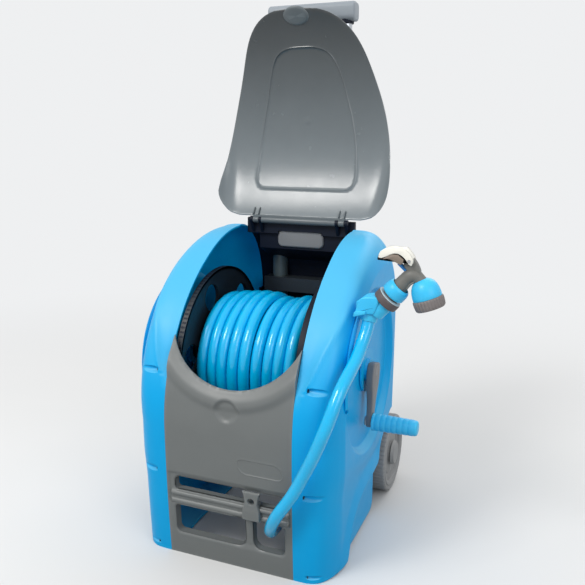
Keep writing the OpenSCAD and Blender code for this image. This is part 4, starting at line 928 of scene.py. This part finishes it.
def gun_handle():
    # Spine of (u, w, radius)
    spine = catmull([(0, 29.5, 10.2), (0, 44, 10.2), (-1, 56, 9.6), (-1.6, 65, 8.8), (-0.6, 72, 9), (3.4, 76, 8.6),
                     (9, 76.5, 8), (15, 75.6, 8), (19.5, 72, 8)], 8)
    knuckle = catmull([(-18, 79), (-18.6, 85), (-17, 90), (-11, 90.4), (-3, 88.4), (5, 84), (6, 76), (-8, 75),
                       (-15, 76), (-18, 79)], 4)[:-1]
    rib = catmull([(7, 58), (6.5, 66), (9, 74), (15, 79)], 6)
    parts = [tube(gun_path(spine), spine[:, 2], 28), gun_plate(knuckle, -4.8, 4.8), tube(gun_path(rib, -4.5), 1.6, 10)]
    make("gun_handle", merged(*parts), "gun_grey", "cart", angle=45, replaces="gun_body")
    band = [(24.2, 11), (24.2, 15.6), (24.9, 16.8), (26.5, 17), (32.4, 17), (33.4, 16.7), (34, 16), (34, 11)]
    make("coupling_band", ring_lathe(band, GUN), "ring_dark", "cart", replaces="coupling_ring")
    rim = [(34.1, 11), (34.1, 15.8), (34.5, 16.3), (35.1, 16.2), (35.5, 15.7), (35.5, 11)]
    make("coupling_rim", ring_lathe(rim, GUN), "rim_pale", "cart")
    collar = [(38.5, 12), (38.5, 14.4), (39.6, 15.3), (42, 15.5), (48, 15.3), (51, 14.6), (53, 13.4), (54, 12)]
    make("collar_skin", ring_lathe(collar, GUN), "fitting_blue", "release_collar", replaces="release_collar")


def gun_connector():
    """The hose connector and its clip on the shell."""
    block = catmull([(152, 358), (154.6, 367), (158.4, 375), (162, 378), (172, 379.4), (180, 378.6), (182.4, 374),
                     (180, 366), (176.4, 358.4), (172, 356.8), (160, 356.4), (153.6, 356.4), (152, 358)], 4)[:-1]
    lip = [(150.6, 352.5), (154, 353.2), (166, 357), (166, 361), (154, 360.4), (151, 358)]
    foot = [(58, 358), (68, 345), (76, 343), (82, 352), (77, 370), (58, 370)]
    parts = [prism(block, -76.5, -47.5, FACING, 2.2, 3), prism(lip, -78, -45.5, FACING, 0.9),
             prism(foot, 150.4, 158, across(), 1.5)]
    make("clip_block", merged(*parts), "fitting_blue", "cart", angle=42, replaces="gun_holder")
    neck = lathe([(6, 0), (6, 12.4), (19, 12.8), (22, 12.2), (24.1, 10.9), (29.4, 10.4), (29.4, 0)], GUN, 48)
    end = frame_matrix(line[-1], line[-1] - line[-3], (1, 0, 0))
    cuff = lathe([(-9, 0), (-9, 9.2), (-8.2, 10), (3, 10.6), (3, 0)], end, 32)
    make("connector_skin", merged(neck, cuff), "fitting_blue", "cart", angle=42, replaces="hose_connector")


def gun_head():
    dome = [(-9, 0), (-8.8, 4), (-8, 7.8), (-6, 11.2), (-3, 14), (1, 16.2), (6, 17.6), (11, 18.2), (15, 18.2),
            (15.9, 17.8), (15.9, 0)]
    make("head_dome", lathe(dome, HEAD, 64), "fitting_blue", "cart", replaces="spray_head")

    def knurl(i, a):
        return 1 + 0.02 * cos(28 * a) if 1 <= i <= 5 else 1

    face = 27.5
    cap = [(16.1, 0), (16.1, 18.2), (16.8, 18.9), (19, 19.1), (24.5, 18.8), (28, 18.2), (29.5, 17), (29.5, 15.4),
           (face, 14.9), (face, 0)]
    make("nozzle_skin", lathe(cap, HEAD, 168, knurl), "knurl_grey", "nozzle_ring", angle=50,
         replaces="nozzle_ring")
    # Dark discs on the nozzle's face: painted shade of its spray holes
    dots = []
    for a in (radians(45 * k) for k in range(8)):
        spot = place([(10.7 * cos(a), 10.7 * sin(a), face)], HEAD)[0]
        dots.append(lathe([(-0.2, 0), (-0.2, 1.5), (0.15, 1.4), (0.15, 0)],
                          frame_matrix(spot, HEAD[1][:, 2], (0, 1, 0)), 14))
    make("nozzle_holes", merged(*dots), "hole_dark", "nozzle_ring")


def gun_lever():
    """Cheeks, top skin and the darker pusher under it, whose brown is partly its own colour and partly painted shade
    of the lever's underside.
    """
    top = catmull([(-41, 63.6), (-44.6, 62.4), (-47.4, 69), (-45.6, 76.4), (-40.4, 83), (-34, 87.6), (-29, 92.6),
                   (-22, 92.8), (-15, 91.4), (-10.4, 88.6), (-8.2, 83.4)], 3)
    low = catmull([(-12, 82.6), (-21, 84.2), (-29.6, 82.6), (-34.8, 77.4), (-37.6, 70), (-41, 63.6)], 3)
    cheek = np.vstack([top, low[:-1]])
    band = np.vstack([top[:-3], (top[3:-3] + [1.6, -2.6])[::-1]])
    parts = [gun_plate(cheek, -9.4, -6.2), gun_plate(cheek, 6.2, 9.4), gun_plate(band, -9.2, 9.2, 0.5)]
    make("lever_skin", merged(*parts), "lever_white", "trigger", angle=45, replaces="trigger_lever")
    push = [(-39.4, 65), (-35, 77), (-29.6, 82), (-20.2, 82.9), (-17.6, 79), (-18.6, 74.6), (-25.8, 72.8),
            (-33.5, 70)]
    make("lever_pusher", gun_plate(push, -9.6, 9.6), "lever_brown", "trigger", angle=45)


gun_handle()
gun_connector()
gun_head()
gun_lever()


def hinge():
    """Hinge rail, web and the four fins on the lid's knuckles."""
    spot = across(*HINGE)
    parts = [lathe([(x0, 0), (x0, 4.6), (x0 + 0.6, 5.1), (x1 - 0.6, 5.1), (x1, 4.6), (x1, 0)], spot, 28)
             for x0, x1 in ((-65.2, 65.2), (-75.8, -66.2), (66.2, 75.8))]
    parts.append(prism(rounded_rect(-2.4, 1.2, 3.4, 8.2, 0.8, 2), -76, 76, spot, 0.4))
    # Outline of a fin: distance from the lid's end and depth; then the faces of the plate between its two sides
    outline = ((0, 0), (14, 0), (13, 2.2), (1, 3.6))
    faces = [[0, 1, 2, 3], [7, 6, 5, 4], [0, 4, 5, 1], [1, 5, 6, 2], [2, 6, 7, 3], [3, 7, 4, 0]]
    for middle in (-71 - 4.4, -71 + 4.4, 71 - 4.4, 71 + 4.4):
        x, s, lift = np.array([(middle + a, LS[-1] - b, 2.9 - c) for a in (-0.8, 0.8) for b, c in outline]).T
        parts.append((lid_place(x, s, lift), faces))
    bevel(make("hinge_rail", merged(*parts), "hinge_grey", "lid", angle=40), 0.3)


def back_and_handle():
    """The button in the rear panel, the grip bar with the sleeves on its tubes, and a lighter lip on the inner shelf,
    a painted highlight of its lit front edge.
    """
    face = prism(rounded_rect(-38.4, 38.4, 401.8, 428.2, 8, 8), -252, -246, FACING, 3, 5)
    plate = prism(rounded_rect(-38.6, 38.6, 401.8, 428.3, 8, 6), -255.4, -253.4, FACING, 0.4)
    make("button_face", merged(face, plate), "trim_grey", "release_button", replaces="release_button")
    tube_x, tube_y = 54, 294.5
    bar = prism(rounded_rect(-13.8, 13.8, -14, 14, 8.5, 6), -70, 70, across(tube_y, 756), 3.2, 5)
    make("bar_skin", bar, "handle_grip_grey", "handle", replaces="handle_grip")
    sleeve = [(738.6, 9.1), (738.6, 11), (739.2, 11.6), (745, 11.6), (745, 9.1)]
    sleeves = [lathe(sleeve, frame_matrix((x, tube_y, 0), (0, 0, 1), (1, 0, 0)), 32) for x in (-tube_x, tube_x)]
    make("bar_sleeves", merged(*sleeves), "navy_black", "handle")
    # A lighter strip along the shelf's front edge: a painted highlight
    make("shelf_edge_highlight", prism(rounded_rect(277.6, 281, 339.6, 342.4, 1.1, 3), -75, 75, across(), 0.5), "rail_grey",
         "cart")


hinge()
back_and_handle()

# Crank: distance of the grip from the drum's axis and the angle by which its arm leans
CRANK_R, CRANK_LEAN = 72, radians(13)
# Radii that the grip's rings lose, one for each step of 0.98 mm
RINGS = (0, 0, 0, 0.25, 0.5, 0.25, 0, 0)


def crank():
    cy, cz = DRUM_Y - CRANK_R * sin(CRANK_LEAN), DRUM_Z - CRANK_R * cos(CRANK_LEAN)
    start = 158
    along = [158.2 + i * 0.98 for i in range(61)]
    rings = [(x, 12.4 - 1.1 * (x - start) / 60 - RINGS[i % 8]) for i, x in enumerate(along)]
    grip = [(214.4, 0), (214.4, 4.2), (start, 4.2), (start, 11.6)] + rings
    grip += [(219, 10.8), (221.2, 9.6), (222, 7.6), (222, 0)]
    make("grip_skin", lathe(grip, across(cy, cz), 48), "fitting_blue", "crank_grip", angle=50, replaces="crank_grip")
    # Arm, wide and thick at the hub, slim at the grip: distance from the hub and half width
    halves = [(-11.4, 9), (-10.6, 13), (-7.5, 15.8), (0, 18), (10, 18.6), (20, 17), (30, 13.4), (42, 9.8),
              (56, 8.2), (72, 8), (76.6, 6.9), (79.4, 4.4), (80.4, 1.4)]
    way = np.array([cy - DRUM_Y, cz - DRUM_Z]) / CRANK_R
    side_way = np.array([-way[1], way[0]])
    pts = [way * a + side_way * b for a, b in halves] + [way * a - side_way * b for a, b in halves[::-1]]
    hub, outside = across(DRUM_Y, DRUM_Z), 157.4
    v, f = prism(pts, 147, outside, hub, 1.7, 4)
    along = ((v[:, 1] - DRUM_Y) * way[0] + (v[:, 2] - DRUM_Z) * way[1]) / CRANK_R
    v[:, 0] = outside - (outside - v[:, 0]) * (1 - 0.24 * ease(along))
    make("crank_arm_skin", (v, f), "arm_grey", "drum", angle=40, replaces="crank_arm")
    boss = [(137, 0), (137, 7.4), (147.2, 7.4), (147.2, 6), (157, 6), (157, 7.4), (157.5, 7), (157.5, 0)]
    make("crank_boss", lathe(boss, hub, 40), "arm_grey", "drum", angle=40, replaces="crank_cap")


# Profiles (distance from the cart's middle, radius) of a wheel and of the lip round a drum flange
WHEEL = [(99.7, 5.3), (99.7, 12.8), (141, 13.2), (143, 15), (143, 53), (141, 54.6), (119.5, 55), (118.2, 57),
         (118.4, 60.6), (120, 62.4), (123, 63), (147.5, 63), (150.4, 62.2), (152, 60), (152, 57.4), (150.8, 56),
         (150.8, 54.4), (152, 53), (152, 49), (150.5, 46.6), (147.4, 45.4), (147, 38), (145.8, 37), (145.8, 35),
         (147, 34), (147, 18), (150.8, 15), (152, 13), (152, 5.3)]
FLANGE_LIP = [(83.5, 127.2), (91, 127.2), (91, 130.2), (90.2, 131), (84.2, 131), (83.5, 130.2)]


def tread(i, a):
    return 1 - 0.016 * (sin(56 * a) > 0.25) if 9 <= i <= 12 else 1


def wheels():
    for s, side in SIDES:
        parts = [ring_lathe(WHEEL, across(AXLE_Y, AXLE_Z, 0, s), 336, tread)]
        rib = rounded_rect(*sorted((s * 122, s * 143.2)), -2, 2, 0.8, 3)
        for a in (radians(60 * k) for k in range(6)):
            spoke = frame_matrix((0, AXLE_Y, AXLE_Z), (0, cos(a), sin(a)), (1, 0, 0))
            parts.append(prism(rib, 12, 55.2, spoke, 0.3))
        make("wheel_skin_" + side, merged(*parts), "wheel_grey", "wheel_" + side, angle=35, replaces="wheel_" + side)
        make("flange_lip_" + side, ring_lathe(FLANGE_LIP, across(DRUM_Y, DRUM_Z, 0, s), 120), "navy_black", "drum")


crank()
wheels()

# The CAD nodes that stay, by material, with their rounded edges in mm; a star stands for left and for right
KEEP = {
    "navy_black": {"rear_panel": 0.8, "drum_flange_right": 0.6}, "flange_black": {"drum_flange_left": 0.6},
    "rail_grey": {"handle_socket_*": 0.5}, "handle_silver": {"handle_tube_*": 0.3},
    "black_plastic": {"socket_bracket": 0.8, "axle_bracket_*": 0.6, "drum_barrel": 0.3},
    "steel": {"wheel_axle": 0.5, "axle_caps": 0.3, "shell_screws": 0, "hinge_pins": 0.3, "trigger_pin": 0.2,
              "grip_pin": 0.2},
    "shell_blue": {"bearing_bush_*": 0.5, "screw_bosses": 0, "crank_shaft": 0.3}, "fitting_blue": {"inlet_nut": 0.6},
    "rubber_black": {"tube_plugs": 0.3, "lock_shoe_*": 0.4, "water_shaft": 0.3, "shaft_seals": 0},
    "trim_grey": {"inlet_elbow": 0.6, "inlet_nipple": 0.3}, "wheel_grey": {"wheel_cap_*": 0.5},
    "stem_blue": {"valve_stem": 0.3},
}
for mat, nodes in KEEP.items():
    for name, width in nodes.items():
        for full_name in sorted({name.replace("*", side) for _, side in SIDES}):
            o = NODES[full_name]
            o.data.materials.clear()
            o.data.materials.append(M[mat])
            if width:
                bevel(o, width, 35)
